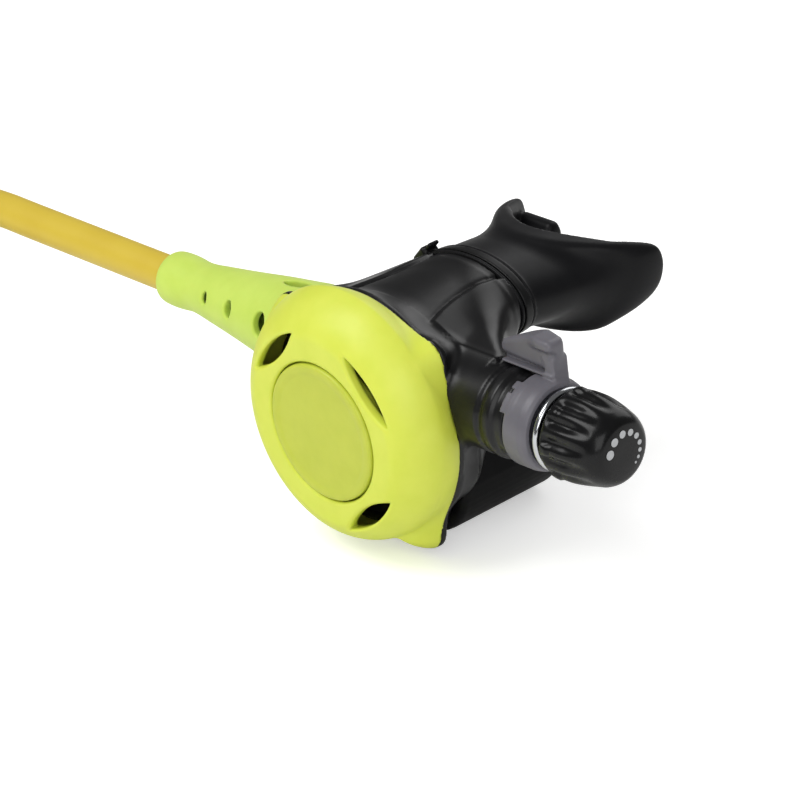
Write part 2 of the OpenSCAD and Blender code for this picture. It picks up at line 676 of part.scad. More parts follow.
module venturi_lever() {
    tab_low = ring_r + 2;
    tab_y = 1.5;
    tab_depth = 8;
    color(grey) difference() {
        union() {
            turned([[nose_r, ring_x], [ring_r - 0.4, ring_x], [ring_r, ring_x + 0.4], [ring_r, ring_end_x - 2.2],
                [ring_r - 0.9, ring_end_x], [barrel_r + run, ring_end_x],
                [barrel_r + run, ring_end_x - ring_wall_t], [nose_r, ring_end_x - ring_wall_t]]);
            // lower plate over the boss and wedge-shaped thumb tab above it
            translate([0, valve_y, valve_z]) rotate([90, 0, 90]) translate([0, 0, ring_end_x - tab_len])
                linear_extrude(tab_len)
                polygon([[tab_y - 1, ring_r - 1.1 + gap], [tab_y + 4.5, ring_r - 1.9], [tab_y + 4.5, ring_r + 0.2],
                    [tab_y - 1, ring_r + 1.1]]);
            translate([0, valve_y, valve_z]) rotate([90, 0, 90]) translate([0, 0, ring_end_x - 3])
                linear_extrude(3) polygon([[tab_y - 1, ring_r - 1.1], [tab_y + 5, ring_r - 2.4],
                    [tab_y + tab_depth, tab_low + 3], [tab_y + 0.5, tab_low + 3]]);
            translate([ring_end_x - tab_len, valve_y + tab_y, valve_z + tab_low]) thumb_tab(tab_depth);
        }
        for (a = [0:22.5:180]) along_valve() rotate(a + 90) translate([nose_r, 0, ring_x - 1])
            cylinder(r = 0.8, h = 2.6, $fn = 16);
        turned([[0, ring_x - tab_len], [boss_r + gap, ring_x - tab_len], [boss_r + gap, ring_x - 0.4],
            [0, ring_x - 0.4]]);
    }
}

// Thumb tab: a wedge that widens and rises from its tip to the ring
module thumb_tab(depth) {
    hull() {
        translate([0.8, 0.8, 1]) sphere(r = 0.8, $fn = 16);
        translate([0.8, 0.8, tab_rise - 5.1]) sphere(r = 0.8, $fn = 16);
        translate([tab_len - 1.2, 1.2, 1.2]) sphere(r = 1.2, $fn = 16);
        translate([tab_len - 1, 1.2, tab_rise - 1.4]) sphere(r = 1.4, $fn = 16);
        translate([tab_len - 5.5, depth - 1.5, tab_rise - 1.6]) sphere(r = 1.6, $fn = 16);
        translate([tab_len - 12, depth - 1, tab_rise - 1.6]) sphere(r = 1.6, $fn = 16);
        translate([tab_len - 6, depth - 2.2, 1.4]) sphere(r = 1.2, $fn = 16);
    }
}

// Sleeve round the barrel, and the blade that reaches back from it into the case
module venturi_vane() {
    blade_t = 1.2;
    color(grey) along_valve() difference() {
        union() {
            translate([0, 0, vane_x]) tube(vane_r, barrel_r + run, ring_end_x - ring_wall_t - vane_x);
            rotate(blade_rest) translate([0, 0, vane_x - vane_len]) intersection() {
                tube(vane_r - eps, vane_r - blade_t, vane_len + 1);
                linear_extrude(vane_len + 1) wedge(blade_half, 2 * vane_r);
            }
        }
        translate([0, 0, nose_x - 6.2]) tube(vane_r + 1, vane_r - blade_t, 1.6);
    }
}

module vane_oring() { color(rubber) along_valve() translate([0, 0, nose_x - 5.4]) ring(vane_r - 0.58, 0.6); }

module adjustment_knob() {
    taper_x = knob_x + 12;
    tilt = atan2(knob_r - knob_end_r, knob_tip_x - taper_x);
    color(black) difference() {
        turned(concat([[0, knob_x], [knob_r - 0.8, knob_x], [knob_r - 0.2, knob_x + 1.4],
            [knob_r, taper_x - 0.4], [knob_r - 0.8, taper_x]],
            arc([knob_end_r - 3, knob_tip_x - 3.4], 3, 10, 90, 6), [[0, knob_tip_x]]));
        along_valve() {
            translate([0, 0, knob_x - 1]) cylinder(r = barrel_r - 0.9 + gap, h = barrel_end_x - knob_x + 1 + gap);
            translate([-2.5 - run, -2.5 - run, knob_x]) cube([5 + 2 * run, 5 + 2 * run, knob_len - 5]);
            for (i = [0:knob_flutes - 1]) rotate(360 * (i + 0.5) / knob_flutes)
                translate([knob_r + 0.9, 0, knob_x + 1.6]) rotate([0, -tilt * 0.8, 0])
                cylinder(r1 = 2.2, r2 = 2.4, h = knob_len - 6, $fn = 32);
            dots(0);
        }
    }
}

// Row of dots that shrink round the knob's end; deeper leaves a seat for them
module dots(lift) {
    for (i = [0:dot_count - 1]) rotate(-52 - 30 * i) translate([0, 6.1, knob_tip_x - 0.8 + lift])
        cylinder(r = 1.25 - 0.09 * i, h = 1.2 - lift, $fn = 24);
}

module knob_dots() {
    color("#b9bbbd") along_valve() intersection() {
        dots(0);
        cylinder(r = 20, h = knob_tip_x + 0.1);
    }
}

// ---- mouthpiece ----

module mouthpiece() {
    a = sleeve_a - rubber_wall;
    b = sleeve_b - rubber_wall;
    color(black) front() difference() {
        union() {
            translate([0, neck_up, -bite_back + 8]) linear_extrude(bite_back - neck_back - 8.3)
                polygon(oval(sleeve_a, sleeve_b));
            // the sleeve spreads into the flange
            hull() {
                translate([0, neck_up, -bite_back + 10]) linear_extrude(1) polygon(oval(sleeve_a, sleeve_b, 48));
                translate([0, neck_up - 2 * bite_drop, -bite_back - 16]) linear_extrude(1)
                    polygon(oval(bite_a - 8.5, 0.7 * bite_b, 48));
            }
            bite_flange();
            for (s = [-1, 1]) bite_tab(s);
        }
        translate([0, neck_up, -neck_back - 12]) linear_extrude(20) polygon(oval(a, b));
        translate([0, neck_up - bite_drop, -bite_back - 12]) linear_extrude(40) polygon(oval(14, 8));
        // hollow side of the flange, towards the teeth
        translate([0, neck_up - bite_drop, 0]) intersection() {
            rotate([90, 0, 0]) translate([0, 0, -30]) linear_extrude(60)
                polygon(concat([for (p = bow) p - [0, bow_t - eps]], [[1.1 * bite_a, -bite_back - 40], [-1.1 * bite_a, -bite_back - 40]]));
            translate([0, 0, -bite_back - 60]) linear_extrude(80) difference() {
                square([90, 60], center = true);
                for (s = [-1, 1]) translate([s * 20 - 7, -5.5]) square([14, 9]);
            }
        }
    }
}

// Front of the flange, seen from above: a bow that curves back towards its ends
bow_t = 2.4;
bow = [for (i = [-16:16]) let (x = 1.1 * bite_a * i / 16) [x, -bite_back - bite_curve * pow(x / bite_a, 2)]];

// Upper wing to middle of the lower edge, as shares of bite_a and bite_b
wing = [[0, 0.66], [0.36, 0.66], [0.54, 0.65], [0.74, 0.6], [0.85, 0.545], [0.93, 0.47], [0.98, 0.35], [1, 0.17],
    [0.99, -0.06], [0.95, -0.38], [0.86, -0.65], [0.74, -0.865], [0.6, -0.98], [0.43, -1], [0.22, -0.945],
    [0.08, -0.925]];

// Flange that sits between lips and teeth: winged outline cut out of a bowed sheet
module bite_flange() {
    translate([0, neck_up - bite_drop, 0]) intersection() {
        rotate([90, 0, 0]) translate([0, 0, -30]) linear_extrude(60)
            polygon(concat(bow, [for (i = [len(bow) - 1:-1:0]) bow[i] - [0, bow_t]]));
        translate([0, 0, -bite_back - 40]) linear_extrude(60) polygon(concat(
            [for (p = wing) [p[0] * bite_a, p[1] * bite_b]],
            [for (i = [len(wing) - 1:-1:1]) [-wing[i][0] * bite_a, wing[i][1] * bite_b]]));
    }
}

module bite_tab(s) {
    translate([s * 20, neck_up - bite_drop - 1, -bite_back - 3]) {
        translate([-7, -2, -21.5]) cube([14, 4, 21.5]);
        translate([-7, -4.5, -24]) cube([14, 9, 3.5]);
    }
}

module mouthpiece_tie() {
    a = sleeve_a + 0.1;
    b = sleeve_b + 0.1;
    band_t = 1.3;
    z = -neck_back - 1.2 - tie_w;
    head_a = 150;
    head = [(a + band_t) * cos(head_a), (b + band_t) * sin(head_a)];
    color(black) front() translate([0, neck_up, z]) {
        difference() {
            linear_extrude(tie_w) polygon(oval(a + band_t, b + band_t));
            translate([0, 0, -1]) linear_extrude(tie_w + 2) polygon(oval(a, b));
        }
        translate(head) rotate(atan2(head[1] / pow(b, 2), head[0] / pow(a, 2))) {
            translate([-0.8, -4, -0.8]) cube([4.6, 8, tie_w + 1.6]);
            translate([1.2, -6.5, 0.3]) cube([1.3, 4, tie_w - 0.6]);
        }
    }
}

// ---- hose ----

module swivel_nut() {
    color(chrome) difference() {
        intersection() {
            along_valve() translate([0, 0, boss_left_x - 2.3 - nut_len]) rotate(30) cylinder(r = 17.5 / sqrt(3), h = nut_len, $fn = 6);
            turned([[0, boss_left_x - 2.3 - nut_len], [8.8, boss_left_x - 2.3 - nut_len],
                [10.1, boss_left_x - 1.1 - nut_len], [10.1, boss_left_x - 3.4], [9.2, boss_left_x - 2.3], [0, boss_left_x - 2.3]]);
        }
        along_valve() {
            translate([0, 0, inlet_x - 1.8]) cylinder(r = inlet_r + run, h = 20);
            translate([0, 0, -70]) cylinder(r = 4.8, h = 30);
        }
    }
}

module hose_stem() {
    color(chrome) turned([[stem_bore_r, inlet_x], [stem_bore_r, hose_start_x - 12], [4, hose_start_x - 12],
        [4, hose_start_x], [ferrule_r - 1.2, hose_start_x], [ferrule_r - 1.2, ferrule_x], [4.7, ferrule_x],
        [4.7, inlet_x - 1.8], [6.5, inlet_x - 1.8], [6.5, inlet_x - 0.1], [5.4, inlet_x - 0.1],
        [5.4, inlet_x - 1.3], [3.9, inlet_x - 1.3], [3.9, inlet_x + 0]]);
}

module hose_oring() { color(rubber) along_valve() translate([0, 0, inlet_x - 0.65]) ring(4.65, 0.6); }

module hose_ferrule() {
    color(chrome) turned([[ferrule_r - 1.2, ferrule_x], [ferrule_r, ferrule_x], [ferrule_r, ferrule_x - 6],
        [ferrule_r - 0.5, ferrule_x - 8], [ferrule_r, ferrule_x - 10], [ferrule_r, ferrule_x - ferrule_len + 1],
        [ferrule_r - 0.6, ferrule_x - ferrule_len], [hose_r, ferrule_x - ferrule_len], [hose_r, hose_start_x],
        [ferrule_r - 1.2, hose_start_x]]);
}

// Slim oval cutter for a vent hole, pointing out of the boot's side
module vent(x, a, b, turn) {
    translate([x, valve_y, valve_z]) rotate([turn, 0, 0]) translate([0, 0, 5]) linear_extrude(20)
        polygon(oval(a, b, 32));
}

module hose_protector() {
    tip = boot_tip_x;
    color(lime_boot) difference() {
        turned([[hose_r + run, tip], [boot_tip_r - 2, tip], [boot_tip_r - 0.5, tip + 1], [boot_tip_r, tip + 3.5],
            [boot_tip_r + 0.1, tip + 9], [boot_tip_r - 0.1, tip + 16], [boot_tip_r + 1, tip + 26],
            [boot_tip_r + 3.4, tip + boot_slim], [boot_mouth_r - 2, boot_x - boot_bell], [boot_mouth_r - 0.3, boot_x - 4],
            [boot_mouth_r, boot_x], [boot_bore_r, boot_x], [boot_bore_r, boss_left_x - 0.4],
            [nut_room_r, boss_left_x - 1.6], [nut_room_r, ferrule_x], [ferrule_r + gap, ferrule_x - 1.5],
            [ferrule_r + gap, ferrule_x - ferrule_len - 0.6], [hose_r + run, ferrule_x - ferrule_len - 2.4]]);
        front() {
            translate([0, 0, -flange_t - gap]) linear_extrude(40) eared(cover_r, gap);
            translate([0, 0, -flange_t - cup_d - gap]) linear_extrude(cup_d + gap) eared(flange_r, gap - 1.2);
        }
        for (turn = [72, -72]) {
            for (v = vents) vent(v[0], v[1], v[2], turn);
        }
        vent(-44, 5.5, 1.3, 0);
    }
}

module hose() { color(hose_yellow) swept(smooth_path(hose_route), hose_r, 12); }

module hose_coil() {
    color(hose_yellow) translate([coil_c[0], coil_c[1], 0]) rotate_extrude($fn = 96) polygon(concat(
        arc([coil_r, hose_r], hose_r, 180, 360, 8), arc([coil_r, 3 * hose_r], hose_r, 0, 180, 8)));
}

// Start and direction of the tail, which leaves the bottom turn along its tangent
function tail_point(d) = [coil_c[0] + coil_r * cos(tail_a) + d * sin(tail_a),
    coil_c[1] + coil_r * sin(tail_a) - d * cos(tail_a), hose_r + (end_z - hose_r) * eased(d / tail_rise_len)];

function eased(t) = let (u = min(1, max(0, t))) u * u * (3 - 2 * u);

module hose_tail() {
    color(hose_yellow) swept([for (i = [0:6]) tail_point(tail_len * i / 6)], hose_r, 12);
}

// Local z runs along the end of the hose, from the end of the tail
module at_end() {
    p = tail_point(tail_len);
    translate(p) rotate([0, 90, tail_a - 90]) children();
}

module end_ferrule() {
    color(chrome) at_end() rotate_extrude() polygon([[hose_r, -20], [ferrule_r - 0.4, -20], [ferrule_r, -19],
        [ferrule_r, -8], [ferrule_r - 0.5, -6], [ferrule_r, -4], [ferrule_r, 2], [0, 2], [0, eps], [hose_r, eps]]);
}

module end_fitting() {
    color(chrome) at_end() {
        translate([0, 0, 2]) cylinder(r = 5.4, h = 3);
        translate([0, 0, 5]) intersection() {
            rotate(30) cylinder(r = end_hex / sqrt(3), h = 8, $fn = 6);
            rotate_extrude() polygon([[0, 0], [end_hex * 0.52, 0], [end_hex * 0.58, 0.8], [end_hex * 0.58, 7.2],
                [end_hex * 0.52, 8], [0, 8]]);
        }
        translate([0, 0, 12]) rotate_extrude() polygon([[0, 0], [3.6, 0], [3.6, 3], [end_thread_r, 3.6],
            [end_thread_r, 12], [end_thread_r - 0.7, 12.8], [2, 12.8], [2, 6], [0, 6]]);
    }
}

module end_oring() { color(rubber) at_end() translate([0, 0, 14]) ring(4.55, 0.9); }

case();
front_cover();
purge_button();
purge_spring();
diaphragm_retainer();
diaphragm();
diaphragm_disc();
demand_lever();
valve_barrel();
orifice();
orifice_oring();
poppet();
poppet_seat();
poppet_spring();
adjusting_spindle();
spindle_oring();
barrel_nut();
adjustment_knob();
knob_dots();
venturi_lever();
venturi_vane();
vane_oring();
exhaust_valve();
exhaust_tee();
mouthpiece();
mouthpiece_tie();
swivel_nut();
hose_stem();
hose_oring();
hose_ferrule();
hose_protector();
hose();
hose_coil();
hose_tail();
end_ferrule();
end_fitting();
end_oring();
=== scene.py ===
# Scuba second stage with its hose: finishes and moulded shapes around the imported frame
import json
from math import atan, atan2, cos, degrees, pi, radians, sin, sqrt
import bmesh
import bpy
import numpy as np
from mathutils import Matrix, Vector


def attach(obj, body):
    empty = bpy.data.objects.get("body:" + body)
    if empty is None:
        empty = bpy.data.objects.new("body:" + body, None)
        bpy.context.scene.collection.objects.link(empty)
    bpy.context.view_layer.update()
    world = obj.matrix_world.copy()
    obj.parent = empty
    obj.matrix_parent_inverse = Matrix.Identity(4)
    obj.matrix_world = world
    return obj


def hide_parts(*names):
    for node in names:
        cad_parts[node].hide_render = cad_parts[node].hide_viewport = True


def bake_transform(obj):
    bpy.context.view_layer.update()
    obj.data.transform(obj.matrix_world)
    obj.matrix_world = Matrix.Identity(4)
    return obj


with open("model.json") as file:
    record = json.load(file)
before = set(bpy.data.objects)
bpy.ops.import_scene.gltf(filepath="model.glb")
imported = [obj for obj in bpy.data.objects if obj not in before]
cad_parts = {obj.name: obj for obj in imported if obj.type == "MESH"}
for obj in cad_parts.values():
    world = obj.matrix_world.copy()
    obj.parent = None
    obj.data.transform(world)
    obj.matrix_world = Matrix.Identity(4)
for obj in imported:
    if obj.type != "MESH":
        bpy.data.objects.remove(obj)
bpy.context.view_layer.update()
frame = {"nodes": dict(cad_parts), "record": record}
mm = 0.001


class Sizes(dict):
    # a dictionary whose entries are also read with a dot
    __getattr__ = dict.__getitem__


# Where the main axes lie, in mm; local u runs to the knob, v up and w forward from the parting plane
layout = Sizes(
    axisHeight=43.5,   # cover's axis above the floor
    facePlane=-53.0,   # y of the purge button's face
    partingPlane=-29.0,   # y where the cover meets the case
    valveUp=10.0,   # valve axis above the cover's axis
    valveBack=8.0,   # and behind the parting plane
)
valveY = layout.partingPlane + layout.valveBack
valveZ = layout.axisHeight + layout.valveUp
tiny, farOff = 1e-6, 1e9


def toLinear(hexColour):
    # sRGB hex to the linear values that shaders take
    channels = [int(hexColour[i:i + 2], 16) / 255 for i in (1, 3, 5)]
    return tuple(c / 12.92 if c <= 0.04045 else ((c + 0.055) / 1.055) ** 2.4 for c in channels) + (1.0,)


def ramp(value, start=0, length=1):
    # 0 up to the start, 1 from a length beyond it
    return np.clip((value - start) / length, 0, 1)


def ease(share):
    # slow at both ends, between 0 and 1
    return share * share * (3 - 2 * share)


def show(name, data):
    obj = bpy.data.objects.new(name, data)
    bpy.context.scene.collection.objects.link(obj)
    return obj


view = Sizes(
    azimuth=51.0, elevation=26.5, roll=6.2,   # degrees
    distance=1.2,   # metres from the button's middle
    clip=(0.05, 20.0),   # nearest and farthest, in metres
    focalPixels=4020, imagePixels=800, sensor=36.0,
    buttonPixel=(323, 432),   # where the button's middle falls in the frame
)


def buildCamera():
    az, el, roll = (radians(view[k]) for k in ("azimuth", "elevation", "roll"))
    target = Vector((0, layout.facePlane, layout.axisHeight)) * mm
    back = Vector((sin(az) * cos(el), -cos(az) * cos(el), sin(el)))
    right = Vector((cos(az), sin(az), 0))
    up = back.cross(right)
    rolledRight = right * cos(roll) - up * sin(roll)
    rolledUp = right * sin(roll) + up * cos(roll)
    data = bpy.data.cameras.new("photoCamera")
    data.sensor_width = view.sensor
    data.lens = view.focalPixels / view.imagePixels * view.sensor
    data.shift_x = (view.imagePixels / 2 - view.buttonPixel[0]) / view.imagePixels
    data.shift_y = (view.buttonPixel[1] - view.imagePixels / 2) / view.imagePixels
    data.clip_start, data.clip_end = view.clip
    camera = show("photoCamera", data)
    turn = Matrix((rolledRight, rolledUp, back)).transposed().to_4x4()
    camera.matrix_world = Matrix.Translation(target + back * view.distance) @ turn
    bpy.context.scene.camera = camera


buildCamera()
print("camera ready")

hoseParts = Sizes(
    diameter=12.0, rings=8, knotSteps=6,   # how finely it is drawn
    exit=(-111, -21, 53.5),
    straight=(-90, -105, -120, -135, -150, -165, -180),   # x along the valve axis
    fallStart=-196, fallSteps=8,   # two equal arcs down to the coil
    coilCentre=(-330, -30), coilRadius=62.0,
    startAngle=-90, topTurn=300, ramp=60, turned=590,   # degrees, clockwise from above
    anglePerPoint=15,
    tailLength=66.0, tailRise=30.0, tailSteps=6, endHeight=7.5,
)


def hosePoints():
    h = hoseParts
    r = h.diameter / 2
    topAxis = 3 * r     # the upper turn lies on the lower one
    start = Vector((h.fallStart, valveY, valveZ))
    cx, cy = h.coilCentre
    end = Vector((cx, cy - h.coilRadius, topAxis))
    along, across = start.x - end.x, (end - start).yz.length
    way = Vector((0, *(end - start).yz)) / across
    arcRadius = (along ** 2 + across ** 2) / (4 * across)
    arcAngle = 2 * atan(across / along)
    arc = []
    for i in range(h.fallSteps + 1):
        a = arcAngle * i / h.fallSteps
        arc.append(Vector((-arcRadius * sin(a), 0, 0)) + way * arcRadius * (1 - cos(a)))
    points = [Vector((x, start.y, start.z)) for x in h.straight]
    points += [start + p for p in arc] + [end - p for p in reversed(arc[1:-1])]
    count = round(h.turned / h.anglePerPoint)
    for i in range(count + 1):
        turned = h.turned * i / count
        fall = ramp(turned, h.topTurn, h.ramp)
        a = radians(h.startAngle - turned)
        points.append(Vector((cx + h.coilRadius * cos(a), cy + h.coilRadius * sin(a),
                              topAxis - 2 * r * ease(fall))))
    leave, heading = points[-1], Vector((sin(a), -cos(a), 0))
    for i in range(1, h.tailSteps + 1):
        d = h.tailLength * i / h.tailSteps
        lift = (h.endHeight - r) * ease(ramp(d, 0, h.tailRise))
        points.append(leave + heading * d + Vector((0, 0, lift)))
    return [p * mm for p in points]


def buildHose():
    curve = bpy.data.curves.new("hoseLine", "CURVE")
    curve.dimensions = "3D"
    # the knots carry the hose's radius, because the bounds of a curve grow by it
    curve.bevel_depth = 1.0
    curve.bevel_resolution = hoseParts.rings
    curve.use_fill_caps = True
    curve.resolution_u = hoseParts.knotSteps
    points = hosePoints()
    spline = curve.splines.new("BEZIER")
    spline.bezier_points.add(len(points) - 1)
    for knot, p in zip(spline.bezier_points, points):
        knot.co = p
        knot.radius = hoseParts.diameter / 2 * mm
        knot.handle_left_type = knot.handle_right_type = "AUTO"
    return show("hoseLine", curve)


hose = buildHose()
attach(hose, "root")
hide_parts("hose", "hose_coil", "hose_tail")
[c * mm for c in hoseParts["exit"]]
print("hose laid")


def addNode(tree, kind, settings=None, links=None):
    # one node, with its settings and what feeds its sockets: a socket, or a node's first one
    node = tree.nodes.new(kind if "Node" in kind else "ShaderNode" + kind)
    for key, value in (settings or {}).items():
        if isinstance(key, str) and hasattr(node, key):
            setattr(node, key, value)
        else:
            node.inputs[key].default_value = value
    for key, source in (links or {}).items():
        tree.links.new(getattr(source, "outputs", [source])[0], node.inputs[key])
    return node


def emptyTree(owner):
    owner.use_nodes = True
    owner.node_tree.nodes.clear()
    return owner.node_tree


def startMaterial(name):
    material = bpy.data.materials.new(name)
    tree = emptyTree(material)
    shader = addNode(tree, "BsdfPrincipled")
    addNode(tree, "OutputMaterial", {}, {"Surface": shader})
    place = addNode(tree, "TexCoord").outputs["Object"]
    return material, tree, shader, place


mouldSkin = Sizes(
    colourEdges=(0.35, 0.65),   # noise levels between which the two colours mix
    blotchMm=4.0, blotchSpread=0.05, grainStrength=0.4,
    driftDetail=3.0, blotchDetail=4.0, grainDetail=2.0,
)


def moulded(name, colours, roughness, grain=(0.5, 0.02), patchMm=9.0, **sockets):
    # colours drift over a few mm as pigment does
    # grain is the texture that spark erosion leaves in the tool: size and depth in mm
    m = mouldSkin
    material, tree, shader, place = startMaterial(name)
    drift, blotch, texture = (
        addNode(tree, "TexNoise", {"Scale": 1 / (size * mm), "Detail": detail}, {"Vector": place})
        for size, detail in ((patchMm, m.driftDetail), (m.blotchMm, m.blotchDetail),
                             (grain[0], m.grainDetail)))
    mix = addNode(tree, "ValToRGB", {}, {"Fac": drift.outputs["Fac"]})
    for element, position, colour in zip(mix.color_ramp.elements, m.colourEdges, colours):
        element.position, element.color = position, toLinear(colour)
    spread = addNode(tree, "MapRange", {"To Min": roughness - m.blotchSpread,
                                        "To Max": roughness + m.blotchSpread},
                     {"Value": blotch.outputs["Fac"]})
    bump = addNode(tree, "Bump", {"Strength": m.grainStrength, "Distance": grain[1] * mm},
                   {"Height": texture.outputs["Fac"]})
    for socket, source in (("Base Color", mix), ("Roughness", spread), ("Normal", bump)):
        tree.links.new(source.outputs[0], shader.inputs[socket])
    for socket, value in sockets.items():
        shader.inputs[socket.replace("_", " ")].default_value = value
    return material


turning = Sizes(
    lineMm=0.35,
    waveRate=20,   # radians that Blender's wave turns per unit of scale
    distortion=0.6, detail=1.0, smoothest=0.7, roughest=1.4,
)


def machined(name, colour, roughness):
    # turning marks ring the valve's axis, so they run with X
    # real ones are finer: here they stand about 2 mm apart, so that they show
    t = turning
    material, tree, shader, place = startMaterial(name)
    shader.inputs["Base Color"].default_value = toLinear(colour)
    shader.inputs["Metallic"].default_value = 1.0
    lines = addNode(tree, "TexWave", {"Scale": 1 / (t.lineMm * t.waveRate * mm),
                                      "Distortion": t.distortion, "Detail": t.detail},
                    {"Vector": place})
    spread = addNode(tree, "MapRange", {"To Min": roughness * t.smoothest, "To Max": roughness * t.roughest},
                     {"Value": lines.outputs["Fac"]})
    tree.links.new(spread.outputs["Result"], shader.inputs["Roughness"])
    return material


materials = {
    # soft-touch polyurethane, injection moulded: broad dull sheen, light glows a little at thin edges
    "cover_lime": moulded("polyurethaneLime", ("#dfe955", "#dae54d"), 0.44, (0.45, 0.02),
                          Subsurface_Weight=0.06, Subsurface_Scale=2 * mm,
                          Coat_Weight=0.04, Coat_Roughness=0.3),
    # the same resin as the cover, its colour painted a shade darker to stand for the shade on the button's
    # front face
    "button_lime": moulded("polyurethaneButtonPaintedShade", ("#c9d247", "#c3cd41"), 0.46, (0.45, 0.02),
                           Subsurface_Weight=0.05, Subsurface_Scale=2 * mm),
    # soft dyed rubber: matt with a faint bloom
    "boot_lime": moulded("dyedRubberLime", ("#cfe762", "#c9e25a"), 0.52, (0.7, 0.03), Sheen_Weight=0.08,
                         Subsurface_Weight=0.05, Subsurface_Scale=2 * mm),
    # extruded rubber cover of the hose: satin, slightly wavy from the die
    "hose_yellow": moulded("extrudedRubberYellow", ("#dcc03e", "#d9bc3a"), 0.45, (0.9, 0.03), 14.0,
                           Coat_Weight=0.05, Coat_Roughness=0.3),
    # glass-filled nylon, injection moulded: near black, satin, picks up wide soft lights
    "case_black": moulded("glassFilledNylon", ("#101011", "#141415"), 0.33, (0.4, 0.015),
                          Specular_IOR_Level=0.4, Coat_Weight=0.04, Coat_Roughness=0.25),
    # black polyurethane of the exhaust tee: softer sheen than the case
    "tee_black": moulded("polyurethaneBlack", ("#0a0a0b", "#0e0e0f"), 0.46, (0.5, 0.02),
                         Specular_IOR_Level=0.12),
    # liquid silicone rubber: deep black, dull, with a dusty bloom at grazing angles
    "mouthpiece_black": moulded("siliconeRubberBlack", ("#0f0f11", "#131315"), 0.42, (0.8, 0.02),
                                Specular_IOR_Level=0.2, Sheen_Weight=0.02),
    # nylon cable tie: plain and a little shinier than the rubber
    "tie_black": moulded("nylonTie", ("#0f0f10", "#131314"), 0.38, (0.5, 0.01), Specular_IOR_Level=0.3),
    # acetal lever: dense, waxy grey
    "lever_grey": moulded("acetalGrey", ("#6b6970", "#66646b"), 0.4, (0.4, 0.015), Subsurface_Weight=0.03,
                          Subsurface_Scale=1 * mm),
    # ABS knob from a polished tool: small sharp lights
    "knob_black": moulded("absGlossBlack", ("#0e0e0f", "#121213"), 0.28, (0.6, 0.008),
                          Specular_IOR_Level=0.25, Coat_Weight=0.12, Coat_Roughness=0.12),
    # pad-printed ink, flat and pale
    "dot_grey": moulded("printedInkGrey", ("#bbbdbf", "#b5b7b9"), 0.5, (0.3, 0.005)),
    # polished chrome plate on brass: mirrors the room
    "chrome": machined("chromePlate", "#d7d9dc", 0.12),
    # turned brass, bare: warm, with soft streaks round it
    "brass": machined("turnedBrass", "#c9a75e", 0.3),
    # drawn stainless wire and pressed sheet: cold and bright
    "spring_steel": machined("drawnStainless", "#b9bbbd", 0.28),
    # moulded nitrile O-rings: matt black
    "seal_rubber": moulded("nitrileRubber", ("#161617", "#1b1b1c"), 0.55, (0.5, 0.02)),
    # thin silicone diaphragm, moulded: dull dark grey
    "diaphragm_rubber": moulded("siliconeSheet", ("#2a2a2c", "#2f2f31"), 0.5, (0.6, 0.02)),
    # black acetal ring, moulded, that holds the diaphragm: waxy black
    "retainer_plastic": moulded("acetalBlack", ("#1c1c1d", "#212122"), 0.42, (0.4, 0.01)),
}
nodeSlots = {part["node"]: part["material_slot"] for part in frame["record"]["subparts"]}


def dress(obj, slotName):
    obj.data.materials.clear()
    obj.data.materials.append(materials[slotName])


for nodeName, nodeObject in frame["nodes"].items():
    dress(nodeObject, nodeSlots[nodeName])
dress(hose, "hose_yellow")
print("materials mixed")

yielding = {
    # what gives way behind the button: its name, the body that its free end follows,
    # and how far its fixed end stands in front of the parting plane
    "purge_spring": ("purgeSpring", "purge", 12.0),
    "diaphragm": ("diaphragmSheet", "disc", 5.0),
}


def buildYielding():
    for node, (name, body, fixedAt) in yielding.items():
        source = frame["nodes"][node]
        piece = show(name, source.data.copy())
        piece.data.transform(source.matrix_world)
        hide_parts(node)
        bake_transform(piece)


buildYielding()

# Moulded pieces are drawn as fields in mm: below zero inside, zero on the skin
# The larger of two fields is what lies in both shapes, the smaller what lies in either
both, either = np.maximum, np.minimum
sharp = 0.3      # radius of an edge that is left sharp
pastAxis = -8    # outlines of round shapes run on to this radius


def join(a, b, k):
    # both shapes, with a fillet about k wide where they meet
    h = np.clip(0.5 + 0.5 * (b - a) / k, 0, 1)
    return b + (a - b) * h - k * h * (1 - h)


def cut(a, b, k):
    return -join(-a, b, k)


def meet(a, b, k):
    return -join(-a, -b, k)


def span(value, low, high):
    return both(low - value, value - high)


def boxReach(sizes, offsets, edge):
    # rounded box of half sizes around the middle that the offsets are measured from
    q = [np.abs(o) - (s - edge) for o, s in zip(offsets, sizes)]
    outside = np.sqrt(sum(both(x, 0) ** 2 for x in q))
    inside = q[0]
    for x in q[1:]:
        inside = both(inside, x)
    return outside + either(inside, 0) - edge


def ovalReach(p, q, a, b):
    ring = np.sqrt((p / a) ** 2 + (q / b) ** 2)
    slope = np.sqrt((p / a ** 2) ** 2 + (q / b ** 2) ** 2)
    return ring * (ring - 1) / both(slope, tiny)


def taperReach(p, q, big, small, length):
    # two circles and their common tangents, the small one at p = length
    q = np.abs(q)
    b = (big - small) / length
    a = sqrt(1 - b * b)
    k = a * p - b * q
    side = b * p + a * q - big
    side = np.where(k > a * length, np.hypot(p - length, q) - small, side)
    return np.where(k < 0, np.hypot(p, q) - big, side)


